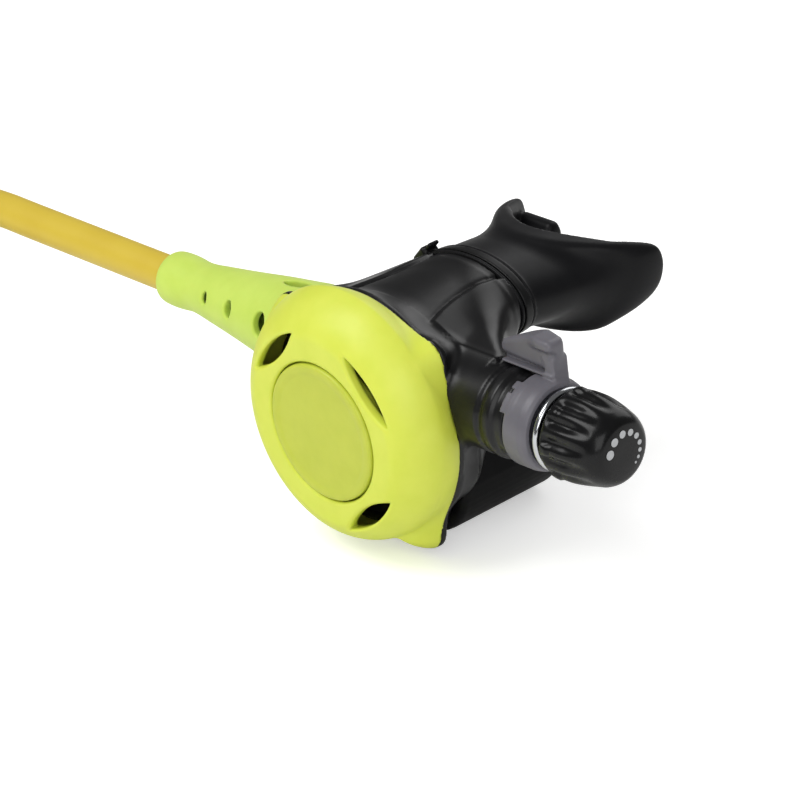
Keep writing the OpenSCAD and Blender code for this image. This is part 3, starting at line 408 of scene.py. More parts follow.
def outlineReach(corners, margin=4.0, step=0.25):
    # signed distance from a closed outline, kept in a table and read between its entries
    corners = np.array(corners, float)
    low, high = corners.min(axis=0) - margin, corners.max(axis=0) + margin
    rows, columns = (np.arange(low[i], high[i] + step, step) for i in (0, 1))
    p, q = np.meshgrid(rows, columns, indexing="ij")
    nearest, inside = np.full(p.shape, farOff), np.zeros(p.shape, bool)
    for (ax, ay), (bx, by) in zip(corners, np.roll(corners, -1, axis=0)):
        ex, ey = bx - ax, by - ay
        t = ramp(((p - ax) * ex + (q - ay) * ey) / max(ex * ex + ey * ey, tiny))
        nearest = either(nearest, (p - ax - ex * t) ** 2 + (q - ay - ey * t) ** 2)
        if ey:
            inside ^= ((ay > q) != (by > q)) & (p < ax + (q - ay) * ex / ey)
    table = np.where(inside, -1, 1) * np.sqrt(nearest)
    # just short of the table's last entries
    lastRow, lastColumn = len(rows) - 1.001, len(columns) - 1.001

    def reach(p, q):
        i = np.clip((p - low[0]) / step, 0, lastRow)
        j = np.clip((q - low[1]) / step, 0, lastColumn)
        i0, j0 = i.astype(int), j.astype(int)
        i, j = i - i0, j - j0
        return ((table[i0, j0] * (1 - i) + table[i0 + 1, j0] * i) * (1 - j)
                + (table[i0, j0 + 1] * (1 - i) + table[i0 + 1, j0 + 1] * i) * j)
    return reach


def smoothLine(points, steps=6):
    # soft curve through the given points
    points = [np.array(p, float) for p in points]
    ends = [points[0]] + points + [points[-1]]
    line = []
    for a, b, c, d in zip(ends, ends[1:], ends[2:], ends[3:]):
        for t in np.arange(steps) / steps:
            line.append(0.5 * (2 * b + (c - a) * t + (2 * a - 5 * b + 4 * c - d) * t * t
                               + (3 * b - a - 3 * c + d) * t ** 3))
    return line + [points[-1]]


def fromValve(v, w):
    # how far behind the valve's axis, and how far above it
    return -w - layout.valveBack, v - layout.valveUp


def valveRadius(v, w):
    return np.hypot(*fromValve(v, w))


def skinCells(field, axes):
    # one point in each cell that the skin crosses, and a face round each crossed grid edge
    inside = field < 0
    shape = [n - 1 for n in field.shape]
    total, count = np.zeros(shape + [3], np.float32), np.zeros(shape, np.int16)
    faces, crossings = [], []
    for axis in range(3):
        lower, upper = [slice(None)] * 3, [slice(None)] * 3
        lower[axis], upper[axis] = slice(0, -1), slice(1, None)
        f0, f1 = field[tuple(lower)], field[tuple(upper)]
        crossed = inside[tuple(lower)] != inside[tuple(upper)]
        crossings.append(crossed)
        share = np.zeros_like(f0)
        np.divide(f0, f0 - f1, out=share, where=crossed)
        others = [k for k in range(3) if k != axis]
        for db in (0, 1):
            for dc in (0, 1):
                pick = [slice(None)] * 3
                for other, d in zip(others, (db, dc)):
                    pick[other] = slice(d, d + shape[other])
                hit = crossed[tuple(pick)]
                count += hit
                total[..., axis] += np.where(hit, share[tuple(pick)], 0)
                total[..., others[0]] += hit * db
                total[..., others[1]] += hit * dc
    cells = np.nonzero(count)
    number = -np.ones(shape, np.int64)
    number[cells] = np.arange(len(cells[0]))
    local = total[cells] / count[cells][:, None]
    points = np.stack([grid[at] + share * (grid[1] - grid[0])
                       for grid, at, share in zip(axes, cells, local.T)], axis=1)
    for axis in range(3):
        b, c = [(1, 2), (2, 0), (0, 1)][axis]
        at = np.nonzero(crossings[axis])
        keep = (at[b] > 0) & (at[c] > 0) & (at[b] < shape[b]) & (at[c] < shape[c])
        at = [i[keep] for i in at]
        corners = []
        for db, dc in ((-1, -1), (0, -1), (0, 0), (-1, 0)):
            spot = list(at)
            spot[b], spot[c] = at[b] + db, at[c] + dc
            corners.append(number[tuple(spot)])
        face = np.stack(corners, axis=1)
        outward = inside[tuple(at)]
        face[~outward] = face[~outward][:, ::-1]
        faces.append(face)
    return points, np.concatenate(faces)


def settle(points, shape, step, rounds=3, probe=0.2, stride=0.35, flattest=0.2):
    # moves each point along the field's slope until it lies on the skin
    # probe and stride are shares of the step
    for _ in range(rounds):
        p = [points[:, k] for k in range(3)]
        slope = []
        for k in range(3):
            ahead, behind = list(p), list(p)
            ahead[k], behind[k] = p[k] + probe * step, p[k] - probe * step
            slope.append((shape(*ahead) - shape(*behind)) / (2 * probe * step))
        slope = np.stack(slope, axis=1)
        push = shape(*p)[:, None] * slope / both((slope ** 2).sum(axis=1), flattest)[:, None]
        size = np.linalg.norm(push, axis=1)
        points = points - push * either(1, stride * step / both(size, tiny))[:, None]
    return points


def addMesh(name, points, faces):
    mesh = bpy.data.meshes.new(name)
    mesh.from_pydata([tuple(p) for p in points], [], [tuple(f) for f in faces])
    mesh.update()
    mesh.polygons.foreach_set("use_smooth", [True] * len(mesh.polygons))
    return show(name, mesh)


def seat(piece, body, node, *more):
    # the piece rides on its body and stands for its CAD nodes
    dress(piece, nodeSlots[node])
    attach(piece, body)
    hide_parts(node, *more)


def castField(name, shape, sizes, body, node):
    # sizes give the box to search, in u, v and w, and the grid's step
    step = sizes.grid * 1
    axes = [np.arange(a, b + step, step, dtype=np.float32) for a, b in zip(*sizes.box)]
    points, faces = skinCells(shape(*np.meshgrid(*axes, indexing="ij")).astype(np.float32), axes)
    u, v, w = settle(points.astype(float), shape, step).T
    placed = np.stack([u, layout.partingPlane - w, layout.axisHeight + v], axis=1)
    seat(addMesh(name, placed * mm, faces.tolist()), body, node)
    print("cast", name, len(faces) * 2, "triangles")


cover = Sizes(
    box=((-44, -48, 3.1), (44, 44, 26.2)), grid=0.56,
    foot=4.3, rimR=38.6, bellyR=40.2, faceR=29.6, depth=24.8, belly=11.5, wall=2.0,
    power=1.7, lowSteps=6, highSteps=18, openBelow=3, lift=2.0,
    ears=((41, 44.0), (146, 46.5), (-59.5, 46.4)),   # degrees and reach
    earR=6.5, earBase=33.0, earLean=0.35, earCurl=0.03, earScale=0.85,
    earLeast=0.4, earBlend=5.0, earUp=14, earOut=(26.0, 6),
    slots=(42, 132, -52.5), slotAt=28.8, slotLength=25.0, slotWidth=5.2, slotLip=1.2,
    slotCollar=1.6, slotSkin=0.5, slotWall=3.6, slotBelow=1,
    holeR=22.5, holeLip=1.2, holeAbove=2,
)


def domeOutline(inset, foot):
    c = cover
    shoulder = 2 / c.power
    low = [(c.bellyR - inset - (c.bellyR - c.rimR) * (1 - z) ** 2,
            c.foot + (c.belly - c.foot) * z) for z in np.linspace(0, 1, c.lowSteps)]
    high = []
    for i in range(1, c.highSteps + 1):
        a = radians(90 * i / c.highSteps)
        high.append((c.faceR - inset + (c.bellyR - c.faceR) * max(cos(a), 0) ** shoulder,
                     c.belly + (c.depth - inset - c.belly) * sin(a) ** shoulder))
    return [(pastAxis, foot), (c.rimR - inset, foot)] + low + high + [(pastAxis, c.depth - inset)]


domeOuter = outlineReach(domeOutline(0, cover.foot))
domeInner = outlineReach(domeOutline(cover.wall, cover.foot - cover.openBelow))


def turnedTo(u, v, degrees):
    a = radians(degrees)
    return u * cos(a) + v * sin(a), v * cos(a) - u * sin(a)


def coverShape(u, v, w):
    c = cover
    # the dome's middle lifts a little between the rim and the face
    rise = ramp(w, c.foot, c.belly - c.foot) * ramp(-w, -c.depth, c.depth - c.belly)
    r, centred = np.hypot(u, v - c.lift * rise), np.hypot(u, v)
    dome = domeOuter(r, w)
    shape = dome
    above = both(w - c.foot, 0)
    for angle, reach in c.ears:
        p, q = turnedTo(u, v, angle)
        # the ear draws in towards the dome as it rises
        ear = taperReach(p, q, c.earBase, c.earR, reach - c.earR)
        ear = ear + c.earLean * above + c.earCurl * above ** 2
        near = ramp(1 - above / c.earUp) * ramp(p, *c.earOut)
        shape = join(shape, ear * c.earScale, c.earLeast + c.earBlend * near)
    shape = both(shape, c.foot - w)
    shape = cut(shape, domeInner(r, w), sharp)
    half = c.slotWidth / 2
    bow = (c.slotLength ** 2 + c.slotWidth ** 2) / (4 * c.slotWidth)
    lenses = farOff
    for angle in c.slots:
        p, q = turnedTo(u, v, angle)
        p = p - c.slotAt
        lens = both(np.hypot(p - bow + half, q), np.hypot(p + bow - half, q)) - bow
        lenses = either(lenses, lens)
    # a collar inside each slot gives it its deep bank
    collar = both(both(lenses - c.slotCollar, dome + c.slotSkin), -dome - c.slotWall)
    shape = either(shape, both(collar, c.belly - w))
    shape = cut(shape, both(centred - c.holeR, c.foot + c.holeAbove - w), c.holeLip)
    return cut(shape, both(lenses, c.belly - c.slotBelow - w), c.slotLip)


castField("frontCover", coverShape, cover, "root", "front_cover")

case = Sizes(
    box=((-43.5, -48, -51.5), (66.5, 45, 12)), grid=0.68,
    bodyR=33.0, wall=2.2, neckUp=21.2, neckBack=39.0, neckFrom=6, neckScale=0.9,
    sleeveA=22.8, sleeveB=12.9, sleeveW=(-50.0, -37.0), sleeveOpen=3,
    leastA=0.5, leastB=0.3, rubber=2.2,
    flangeR=38.6, flangeT=2.2, flangeEdge=0.5, earBlend=1.5,
    bellD=10.0, bellIn=1.2, bellLean=0.75, bellBlend=5.0, bellScale=0.8, bellBehind=0.5,
    rimR=34.3, rimH=11.0, rimD=3, rimGap=0.3, rimEdge=0.4,
    barrelR=14.3, barrelX=(-34.0, 44.0), barrelCrease=2.5, barrelEnd=4,
    barrelIn=1, barrelFlat=0.98, barrelScale=0.85, barrelBlend=6.0,
    leftR=12.5, leftX=(-42, -33.0),
    lineAt=13.0, lineCurl=0.0095, lineMiddle=29.0, lineDeep=0.5, lineWide=0.8, lineSwell=0.6,
    lineUp=(22, 4), lineBack=(5, 2), swellFrom=(0, 2), swellTo=(-16, 12),
    cavityR=31.1, cavityFrom=5, ledgeW=(-6, 7), ledge=2.6,
    portUp=-15.86, portBack=-19.86, portR=15, portBore=9, portRing=(-3, 1.2),
    portSeat=2.4, portDeep=7,
    bore=8.5, boreEnd=-52, vaneBore=10.7, vaneFrom=40.7,
    bladeSweep=(56, -46), bladeR=11, bladeAlong=(20, 42),
    legHalf=(2.9, 10.7, 6), legAt=20, legBack=4, legEdge=0.1,
)
bossOutline = [(pastAxis, 43), (14.3, 43), (14.3, 48.2), (13.7, 48.8), (13.7, 50.2), (14.3, 50.8),
               (14.3, 53.6), (13.1, 54.6), (13.0, 57.8), (11.83, 58.2), (11.83, 65.1), (pastAxis, 65.1)]
bossReach = outlineReach(bossOutline)


def earedReach(u, v, grow):
    shape = np.hypot(u, v) - case.flangeR
    for angle, reach in cover.ears:
        p, q = turnedTo(u, v, angle)
        ear = taperReach(p, q, cover.earBase, cover.earR, reach - cover.earR)
        shape = join(shape, ear, case.earBlend)
    return shape - grow


def bellReach(u, v, w, grow):
    # flange under the cover and the bell that falls back from it to the body
    c = case
    front = cover.foot
    back = front - c.flangeT
    flange = meet(earedReach(u, v, grow), span(w, back - grow, front), c.flangeEdge)
    behind = both(back - w, 0)
    bell = (earedReach(u, v, grow - c.bellIn) + c.bellLean * behind) * c.bellScale
    bell = both(bell, span(w, back - c.bellD - grow, front - c.bellBehind))
    return flange, bell


def neckLoft(u, v, w, inset):
    # round body drawn out to the oval neck
    c = case
    t = ramp(-w, c.neckFrom, c.neckBack - c.neckFrom)
    a, b = both(c.sleeveA * t, c.leastA), both(c.sleeveB * t, c.leastB)
    oval = ovalReach(u, v - c.neckUp * t, a, b)
    return (oval - c.bodyR * (1 - t) + inset) * c.neckScale


def sleeveReach(u, v, inset):
    return ovalReach(u, v - case.neckUp, case.sleeveA - inset, case.sleeveB - inset)


def shoulderReach(u, v, w):
    # barrel across the case, faired back to the neck
    c = case
    first, last = c.barrelX
    middle, half = (last + first) / 2, (last - first) / 2
    t = ramp(-w, layout.valveBack, c.neckBack - c.barrelEnd - layout.valveBack)
    # the barrel's own round hides in the fairing's start
    a, b = (both((c[key] - c.barrelIn) * t, c.leastA) for key in ("sleeveA", "sleeveB"))
    p = np.abs(u - middle * (1 - t)) - half * (1 - t)
    q = np.abs(v - layout.valveUp * (1 - t) - c.neckUp * t) - c.barrelR * (1 - t) * c.barrelFlat
    corner = ovalReach(both(p, 0), both(q, 0), a, b)
    fairing = np.where((p > 0) | (q > 0), corner, both(p - a, q - b)) * c.barrelScale
    fairing = both(fairing, span(w, c.barrelEnd - c.neckBack, -layout.valveBack))
    barrel = both(valveRadius(v, w) - c.barrelR, span(u, first, last))
    return join(barrel, fairing, c.barrelBlend)


def caseOutside(u, v, w, port, out):
    c = case
    r, valve = np.hypot(u, v), valveRadius(v, w)
    left = both(valve - c.leftR, span(u, *c.leftX))
    shape = either(shoulderReach(u, v, w), left)
    # room for the cover's wall round the rim
    room = both(r - cover.bellyR - c.rimGap, c.rimR - r)
    shape = cut(shape, both(room, cover.foot - w), c.rimEdge)
    body = both(neckLoft(u, v, w, 0), span(w, -c.neckBack, cover.foot - c.flangeT))
    shape = join(shape, body, c.barrelCrease)
    # moulded line that parts the drum's top from each shoulder
    line = np.abs(u) - c.lineAt - c.lineCurl * (w + c.lineMiddle) ** 2
    fade = ramp(v, *c.lineUp) * ramp(-w, *c.lineBack)
    shape = shape + fade * c.lineDeep * np.exp(-(line / c.lineWide) ** 2)
    shape = shape - fade * c.lineSwell * ramp(line, *c.swellFrom) * ramp(-line, *c.swellTo)
    flange, bell = bellReach(u, v, w, 0)
    shape = join(shape, bell, c.bellBlend)
    rim = both(r - c.rimR, span(w, -c.rimD, c.rimH))
    sleeve = both(sleeveReach(u, v, c.rubber), span(w, *c.sleeveW))
    shape = either(either(shape, flange), either(rim, sleeve))
    shape = either(shape, bossReach(valve, u))
    return either(shape, both(port - c.portR, span(out, *c.portRing)))


def caseShape(u, v, w):
    c = case
    r, valve = np.hypot(u, v), valveRadius(v, w)
    # ring that carries the exhaust valve: how far from its middle, and how far out
    lean = atan2(c.neckBack - c.neckFrom, c.bodyR + c.neckUp - c.sleeveB)
    s, k = sin(lean), cos(lean)
    out = (c.portUp - v) * s + (c.portBack - w) * k
    port = np.hypot(u, (w - c.portBack) * s - (v - c.portUp) * k)
    # room for the vane's blade and for the lever's legs
    p, q = fromValve(v, w)
    first, last = (radians(d) for d in c.bladeSweep)
    blade = both(q * cos(first) - p * sin(first), p * sin(last) - q * cos(last))
    blade = both(blade, valve - c.bladeR)
    hollows = (
        both(neckLoft(u, v, w, c.wall), span(w, -c.neckBack - 1, -c.cavityFrom)),
        both(r - c.cavityR + c.ledge, span(w, *c.ledgeW)),
        both(r - c.cavityR, c.cavityFrom - w),
        both(sleeveReach(u, v, c.rubber + c.wall), w + c.neckBack - c.sleeveOpen),
        both(valve - c.bore, c.boreEnd - u),
        both(valve - c.vaneBore, c.vaneFrom - u),
        both(blade, span(u, *c.bladeAlong)),
        boxReach(c.legHalf, (u - c.legAt, q, w + c.legBack), c.legEdge),
    )
    hollow = farOff
    for part in hollows:
        hollow = either(hollow, part)
    hole = both(both(port - c.portBore, out + c.portSeat), -out - c.portDeep)
    return cut(cut(caseOutside(u, v, w, port, out), hollow, sharp), hole, sharp)


castField("caseBody", caseShape, case, "root", "case")

tee = Sizes(
    box=((-28.5, -45, -50.5), (28.5, -8, -4.5)), grid=0.56,
    halfWidth=27.0, round=19.5, arcSteps=14, topIn=5, topOver=2,
    back=20.0, front=-23.5, top=34.0, rear=[(20.0, 17), (12, 27), (0, 34)],
    wall=2.0, edge=3.0, dividerHalf=1, dividerFrom=4, dividerEdge=0.5,
    outletHalf=(6, 8, 4.5), outletAt=(11, 20, 9.5), outletRound=1.5, outletLip=0.6,
    neckGap=0.1, bellGap=0.3,
)


def teeOutline():
    t = tee
    half = [(t.halfWidth - t.round + t.round * cos(a), t.round + t.round * sin(a))
            for a in np.linspace(-pi / 2, 0, t.arcSteps)]
    half.append((t.halfWidth - t.topIn, t.top + t.topOver))
    return half + [(-x, z) for x, z in reversed(half)]


teeFront = outlineReach(teeOutline())
teeSide = outlineReach([(tee.front, 0), (tee.back, 0)] + tee.rear + [(tee.front, tee.top)])


def teeShape(u, v, w):
    t = tee
    y, z = layout.partingPlane - w, v + layout.axisHeight
    solid = meet(teeFront(u, z), teeSide(y, z), t.edge)
    hollow = meet(teeFront(u, z) + t.wall, teeSide(y, z) + t.wall, t.edge)
    divider = both(np.abs(u) - t.dividerHalf, t.dividerFrom - y)
    shape = cut(solid, cut(hollow, divider, t.dividerEdge), sharp)
    side, back, up = t.outletAt
    outlets = boxReach(t.outletHalf, (np.abs(u) - side, y - back, z - up), t.outletRound)
    shape = cut(shape, outlets, t.outletLip)
    shape = cut(shape, neckLoft(u, v, w, 0) - t.neckGap, sharp)
    shape = cut(shape, either(*bellReach(u, v, w, t.bellGap)), sharp)
    return both(shape, -z)


castField("exhaustTee", teeShape, tee, "root", "exhaust_tee")

tie = Sizes(
    box=((-29, 5, -46.2), (26, 38, -38.2)), grid=0.42,
    width=3.2, band=0.75, bandEdge=0.6, gap=1.3, off=0.1,
    headAngle=153.0, headHalf=(1.7, 3.6, 3.0), headOut=1.0, headRound=1.1, headBlend=0.6,
    strapHalf=(0.6, 2.5, 2.0), strapOut=1.2, strapAt=4, strapRound=0.4, strapBlend=0.5,
)
tieMiddle = -case.neckBack - tie.gap - tie.width / 2
mouthpiece = Sizes(
    box=((-36, -0.5, -95), (36, 37.5, -38)), grid=0.6,
    bow=0.0224, back=64.2, sheet=1.35, bead=0.4, beadFade=3.5, edge=2.2, flare=9.0,
    wing=0.2, wingOut=(22, 10), tipOut=(23.0, 6), tipThick=1.4,
    throatFrom=45.0, throatTo=66.0, throatMost=1.3, throatDrop=2.2, throatRise=0.4,
    throatGrow=1.5, throatGap=0.3, beadOff=2.4, beadHigh=0.7, beadWide=0.9,
    outline=[(0, 31.8), (6, 31.9), (12, 31.7), (18, 31.5), (24, 30.6), (27, 29.7), (29.3, 28.4), (30.8, 26.3),
             (31.3, 23), (31.1, 19), (30, 13.4), (27.6, 8.8), (24, 5.2), (20, 2.6), (14.5, 2.2),
             (7.5, 3.2), (0, 3.6)],
    outlineSteps=3, holeA=14, holeB=8, holeUp=20, holeLip=1.6, seatDeep=12.6, seatEdge=0.4,
    tabAt=20.0, tabEnd=-90.5, tabUp=19.5, tabHalf=(7.8, 2.0, 14), tabRound=1.2,
    lugHalf=(7.8, 4.6, 2.4), lugRound=2.0, tabBlend=2.0,
)


def buildMouthpieceOutline():
    half = smoothLine(mouthpiece.outline, mouthpiece.outlineSteps)
    return outlineReach([tuple(p) for p in half] + [(-p[0], p[1]) for p in reversed(half[1:-1])])


mouthpieceEdge = buildMouthpieceOutline()


def mouthpieceShape(u, v, w):
    m, c = mouthpiece, case
    bow = -m.back - m.bow * u * u
    slope = 1 / np.sqrt(1 + (2 * m.bow * u) ** 2)
    edge = mouthpieceEdge(u, v)
    half = m.sheet + m.bead * ramp(1 + edge / m.beadFade)
    half = half + m.wing * ramp(np.abs(u), *m.wingOut)
    # the wings' ends thicken on the mouth side
    swell = m.tipThick * ramp(np.abs(u), *m.tipOut)
    flange = meet(np.abs(w - bow + swell / slope) * slope - half - swell, edge, m.edge + swell)
    # the throat narrows and sinks a little from the tie's seat to the flange
    s = np.clip((-w - m.throatFrom) / (m.throatTo - m.throatFrom), 0, m.throatMost)
    throat = ovalReach(u, v - c.neckUp + m.throatDrop * s, c.sleeveA + m.throatGrow * s,
                       c.sleeveB + m.throatRise * s)
    throat = both(throat, w + c.neckBack + m.throatGap)
    throat = both(throat, (bow - w) * slope)
    shape = join(flange, throat, m.flare)
    # seat of the tie, with a soft bead on each side
    off = np.abs(np.abs(w - tieMiddle) - m.beadOff)
    shape = shape - m.beadHigh * ramp(1 - (off / m.beadWide) ** 2)
    shape = cut(shape, ovalReach(u, v - m.holeUp, m.holeA, m.holeB), m.holeLip)
    onSleeve = both(sleeveReach(u, v, c.rubber), -c.neckBack - m.seatDeep - w)
    shape = cut(shape, onSleeve, m.seatEdge)
    for side in (-1, 1):
        p, q = u - side * m.tabAt, v - m.tabUp
        tab = boxReach(m.tabHalf, (p, q, w - m.tabEnd - m.tabHalf[2]), m.tabRound)
        tab = both(tab, (w - bow) * slope)
        lug = boxReach(m.lugHalf, (p, q, w - m.tabEnd - m.lugHalf[2]), m.lugRound)
        shape = join(shape, join(tab, lug, m.tabBlend), m.tabBlend)
    return shape


castField("mouthpieceRubber", mouthpieceShape, mouthpiece, "root", "mouthpiece")


def tieShape(u, v, w):
    t = tie
    a, b = case.sleeveA + t.off, case.sleeveB + t.off
    oval = sleeveReach(u, v, -t.off)
    band = meet(span(oval, 0, t.band), np.abs(w - tieMiddle) - t.width / 2, t.bandEdge)
    angle = radians(t.headAngle)
    p, q = (a + t.band) * cos(angle), (b + t.band) * sin(angle)
    out = degrees(atan2(q / b ** 2, p / a ** 2))
    along, across = turnedTo(u - p, v - case.neckUp - q, out)
    head = boxReach(t.headHalf, (along - t.headOut, across, w - tieMiddle), t.headRound)
    strap = boxReach(t.strapHalf, (along - t.strapOut, across + t.strapAt, w - tieMiddle), t.strapRound)
    return join(band, join(head, strap, t.strapBlend), t.headBlend)


castField("cableTie", tieShape, tie, "root", "mouthpiece_tie")

boot = Sizes(
    box=((-107, -8, -25.5), (-35, 28, 9.5)), grid=0.56,
    outline=[(6.2, -106.0), (7.6, -105.9), (8.6, -104.8), (8.9, -101.6), (8.8, -97.5), (8.35, -92.5),
             (8.6, -88), (9.4, -82), (10.6, -73), (11.9, -64), (13.2, -55.5), (14.2, -48), (15.1, -41),
             (15.6, -37.2)],
    bore=[(15.0, -36), (12.8, -36), (12.8, -42.4), (10.6, -43.6), (10.6, -64), (7.7, -65.5), (7.7, -88.6),
          (6.08, -90.4), (6.08, -106)],
    vents=((-49.2, 2.9, 3.9), (-67, 1.8, 2.8), (-80.5, 1.2, 2.0)), ventTurn=72.0, ventLip=0.9,
    topSlot=(-44, 6.2, 1.9), slotLip=0.6, holeFrom=5,
    coverGap=0.5, coverUnder=0.2, coverLip=0.8, bellGap=0.4,
)
bootReach = outlineReach([tuple(p) for p in smoothLine(boot.outline)] + boot.bore)


def bootShape(u, v, w):
    b = boot
    shape = bootReach(valveRadius(v, w), u)
    # it clears the cover's edge and the case's bell
    edge = earedReach(u, v, cover.bellyR - case.flangeR + b.coverGap)
    shape = cut(shape, both(edge, cover.foot - b.coverUnder - w), b.coverLip)
    shape = cut(shape, either(*bellReach(u, v, w, b.bellGap)), b.bellGap)
    p, q = fromValve(v, w)
    lean = radians(90 - b.ventTurn)
    for x, long, wide in b.vents:
        for side in (-1, 1):
            # vents lie on the front and the rear flanks
            facing = p * cos(lean) * side + q * sin(lean)
            sideways = q * cos(lean) - p * sin(lean) * side
            hole = both(ovalReach(u - x, sideways, long, wide), b.holeFrom - facing)
            shape = cut(shape, hole, b.ventLip)
    x, long, wide = b.topSlot
    return cut(shape, both(ovalReach(u - x, p, long, wide), b.holeFrom - q), b.slotLip)


castField("hoseBoot", bootShape, boot, "boot", "hose_protector")

lever = Sizes(
    box=((42.6, -6, -24), (70, 39, 8)), grid=0.4,
    ring=[(11.9, 59.6), (13.8, 59.4), (14.3, 59.9), (14.3, 65.8), (13.9, 67.6), (13.3, 68.6), (12.9, 68.7),
          (11.9, 68.7), (11.2, 67.4), (8.57, 67.2), (8.57, 65.6), (11.9, 65.6)],
    ringMargin=4.0, ringStep=0.2,
    stopR=(13.1, 14.3), stopX=(57.6, 62), stopSweep=(18, 62), notchSweep=(30, 36),
    notchX=59.0, notchR=12.5, sweepScale=0.2, stopEdge=0.2, stopBlend=0.3,
    tipX=43.4, endX=66.8, frontY=1.8, low=16.6, lowEnd=15.6, tipTop=20.4, endTop=25.6,
    topAt=0.66, topScale=0.92, topRound=1.2, frontRound=1.8, backRound=2.0, backBlend=3.0,
    endRound=2.4,
    blockAlong=(0.5, 0.3), blockOut=1.3, blockUp=(21.5, 1.5),
    # the tab's two back faces, in x and y: a point of each, its slope, and their common length
    backs=((43.4, 2.4, 10.4, -7.6), (55.5, 9.8, 12.5, 3.0)), backLength=12.9,
    bossR=14.6, plateTop=15.4, plateY=(0.3, 6.2), plateFrom=2.6, plateEdge=0.5,
    webAt=4.2, webHalf=0.8, webUp=15.6, webRise=2.2, webEdge=0.4,
    footX=68.6, armLean=0.3, armWide=4.2, armZ=(12, 20), armY=(0.6, 6.2), armSlope=(0.12, 0.25),
    armRound=1.0, armR=12.4, plateBlend=0.4, armBlend=1.2, tabBlend=0.8,
)
leverRing = outlineReach(lever.ring, lever.ringMargin, lever.ringStep)


def leverShape(u, v, w):
    s = lever
    y, z = fromValve(v, w)
    valve = valveRadius(v, w)
    # stop block on the ring's front, with a notch
    turn = np.degrees(np.arctan2(-y, z))
    stop = both(span(valve, *s.stopR), span(u, *s.stopX))
    stop = both(stop, span(turn, *s.stopSweep) * s.sweepScale)
    notch = both(span(turn, *s.notchSweep) * s.sweepScale, u - s.notchX)
    stop = cut(stop, both(notch, s.notchR - valve), s.stopEdge)
    shape = join(leverRing(valve, u), stop, s.stopBlend)
    along = ramp(u, s.tipX, s.endX - s.tipX)
    top = s.tipTop + (s.endTop - s.tipTop) * ramp(along / s.topAt)
    # the thumb block swells forward and up at the right end
    block = ease(ramp(along, *s.blockAlong)) * ramp(z, *s.blockUp)
    front = s.frontY - s.blockOut * block
    backLeft, backRight = (((y - y0) * rise + (u - x0) * run) / s.backLength for x0, y0, rise, run in s.backs)
    low = s.low + (s.lowEnd - s.low) * along
    tab = meet((z - top) * s.topScale, low - z, s.topRound)
    tab = meet(tab, front - y, s.frontRound)
    tab = meet(tab, meet(backLeft, backRight, s.backBlend), s.backRound)
    tab = meet(tab, span(u, s.tipX, s.endX), s.endRound)
    plate = both(s.bossR - valve, valve - s.plateTop)
    plate = meet(plate, span(y, *s.plateY), s.plateEdge)
    plate = meet(plate, span(u, s.tipX + s.plateFrom, s.endX), s.plateEdge)
    plate = both(plate, -z)
    # web behind the slit
    middle = (s.endX + s.tipX) / 2
    web = boxReach((middle - s.tipX - 1, s.webHalf, s.webRise),
                   (u - middle, y - s.webAt, z - s.webUp), s.webEdge)
    plate = either(plate, both(web, backLeft))
    # arm that climbs from the ring to the tab's right end, leaning back to the left
    foot, head = s.armZ
    edge = s.footX - s.armLean * np.clip(z - foot, 0, 20)
    arm = meet(span(u, edge - s.armWide, edge), span(z, foot, head), s.armRound)
    near, far = (at + slope * (z - foot) for at, slope in zip(s.armY, s.armSlope))
    arm = meet(arm, span(y, near, far), s.armRound)
    arm = both(arm, s.armR - valve)
    shape = join(join(shape, plate, s.plateBlend), arm, s.armBlend)
    return join(shape, tab, s.tabBlend)


castField("venturiLever", leverShape, lever, "venturi", "venturi_lever")


def lathe(name, profile, body, node, radial=None, steps=128, axis="valve"):
    # closed turned piece from (along, radius) points that start and end on the axis
    angles = np.arange(steps) * 2 * pi / steps
    points, faces, rows = [], [], []
    for along, radius in profile:
        if radius < tiny:
            rows.append([len(points)] * steps)
            ring = [(along, 0.0, 0.0)]
        else:
            rows.append(list(range(len(points), len(points) + steps)))
            radii = radius + (radial(along, angles) if radial else 0 * angles)
            ring = [(along, r * cos(a), r * sin(a)) for r, a in zip(radii, angles)]
        points += ring
    for low, high in zip(rows, rows[1:]):
        for i in range(steps):
            j = (i + 1) % steps
            face = [low[i], low[j], high[j], high[i]]
            face = [f for k, f in enumerate(face) if f not in face[:k]]
            if len(face) > 2:
                faces.append(face)
    along, p, q = np.array(points).T
    if axis == "valve":
        placed = np.stack([along, valveY + p, valveZ + q], axis=1)
    else:
        placed = np.stack([p, layout.partingPlane - along, layout.axisHeight + q], axis=1)
    piece = addMesh(name, placed * mm, faces)
    shape = bmesh.new()
    shape.from_mesh(piece.data)
    bmesh.ops.recalc_face_normals(shape, faces=shape.faces)
    shape.to_mesh(piece.data)
    shape.free()
    seat(piece, body, node)
    print("turned", name, len(faces))


knob = Sizes(
    start=73.6, tip=95.6, steps=240, outlineSteps=5,
    flutes=14, fluteDepth=1.25, fluteUp=(0.8, 2.4), fluteDown=(-91.5, 8.0),
    fluteOffset=12.0, fluteSharp=1.3,
    pads=7, padRise=0.55, padUp=(0.6, 0.5), padDown=(-78.0, 0.5), padShare=0.2,
    plainStart=0.2, plainTip=0.6,
    outline=[(73.6, 11.8), (73.8, 12.7), (74.4, 13.3), (76, 13.6), (79, 13.7), (82, 13.6), (85, 13.2),
             (88.5, 12.5), (91.5, 11.6), (93.3, 10.7), (94.4, 9.8), (95.1, 8.8), (95.4, 7.6)],
    faceRings=(0, 3.0, 6.6), socketR=8.2, socketDepth=11.0,
)


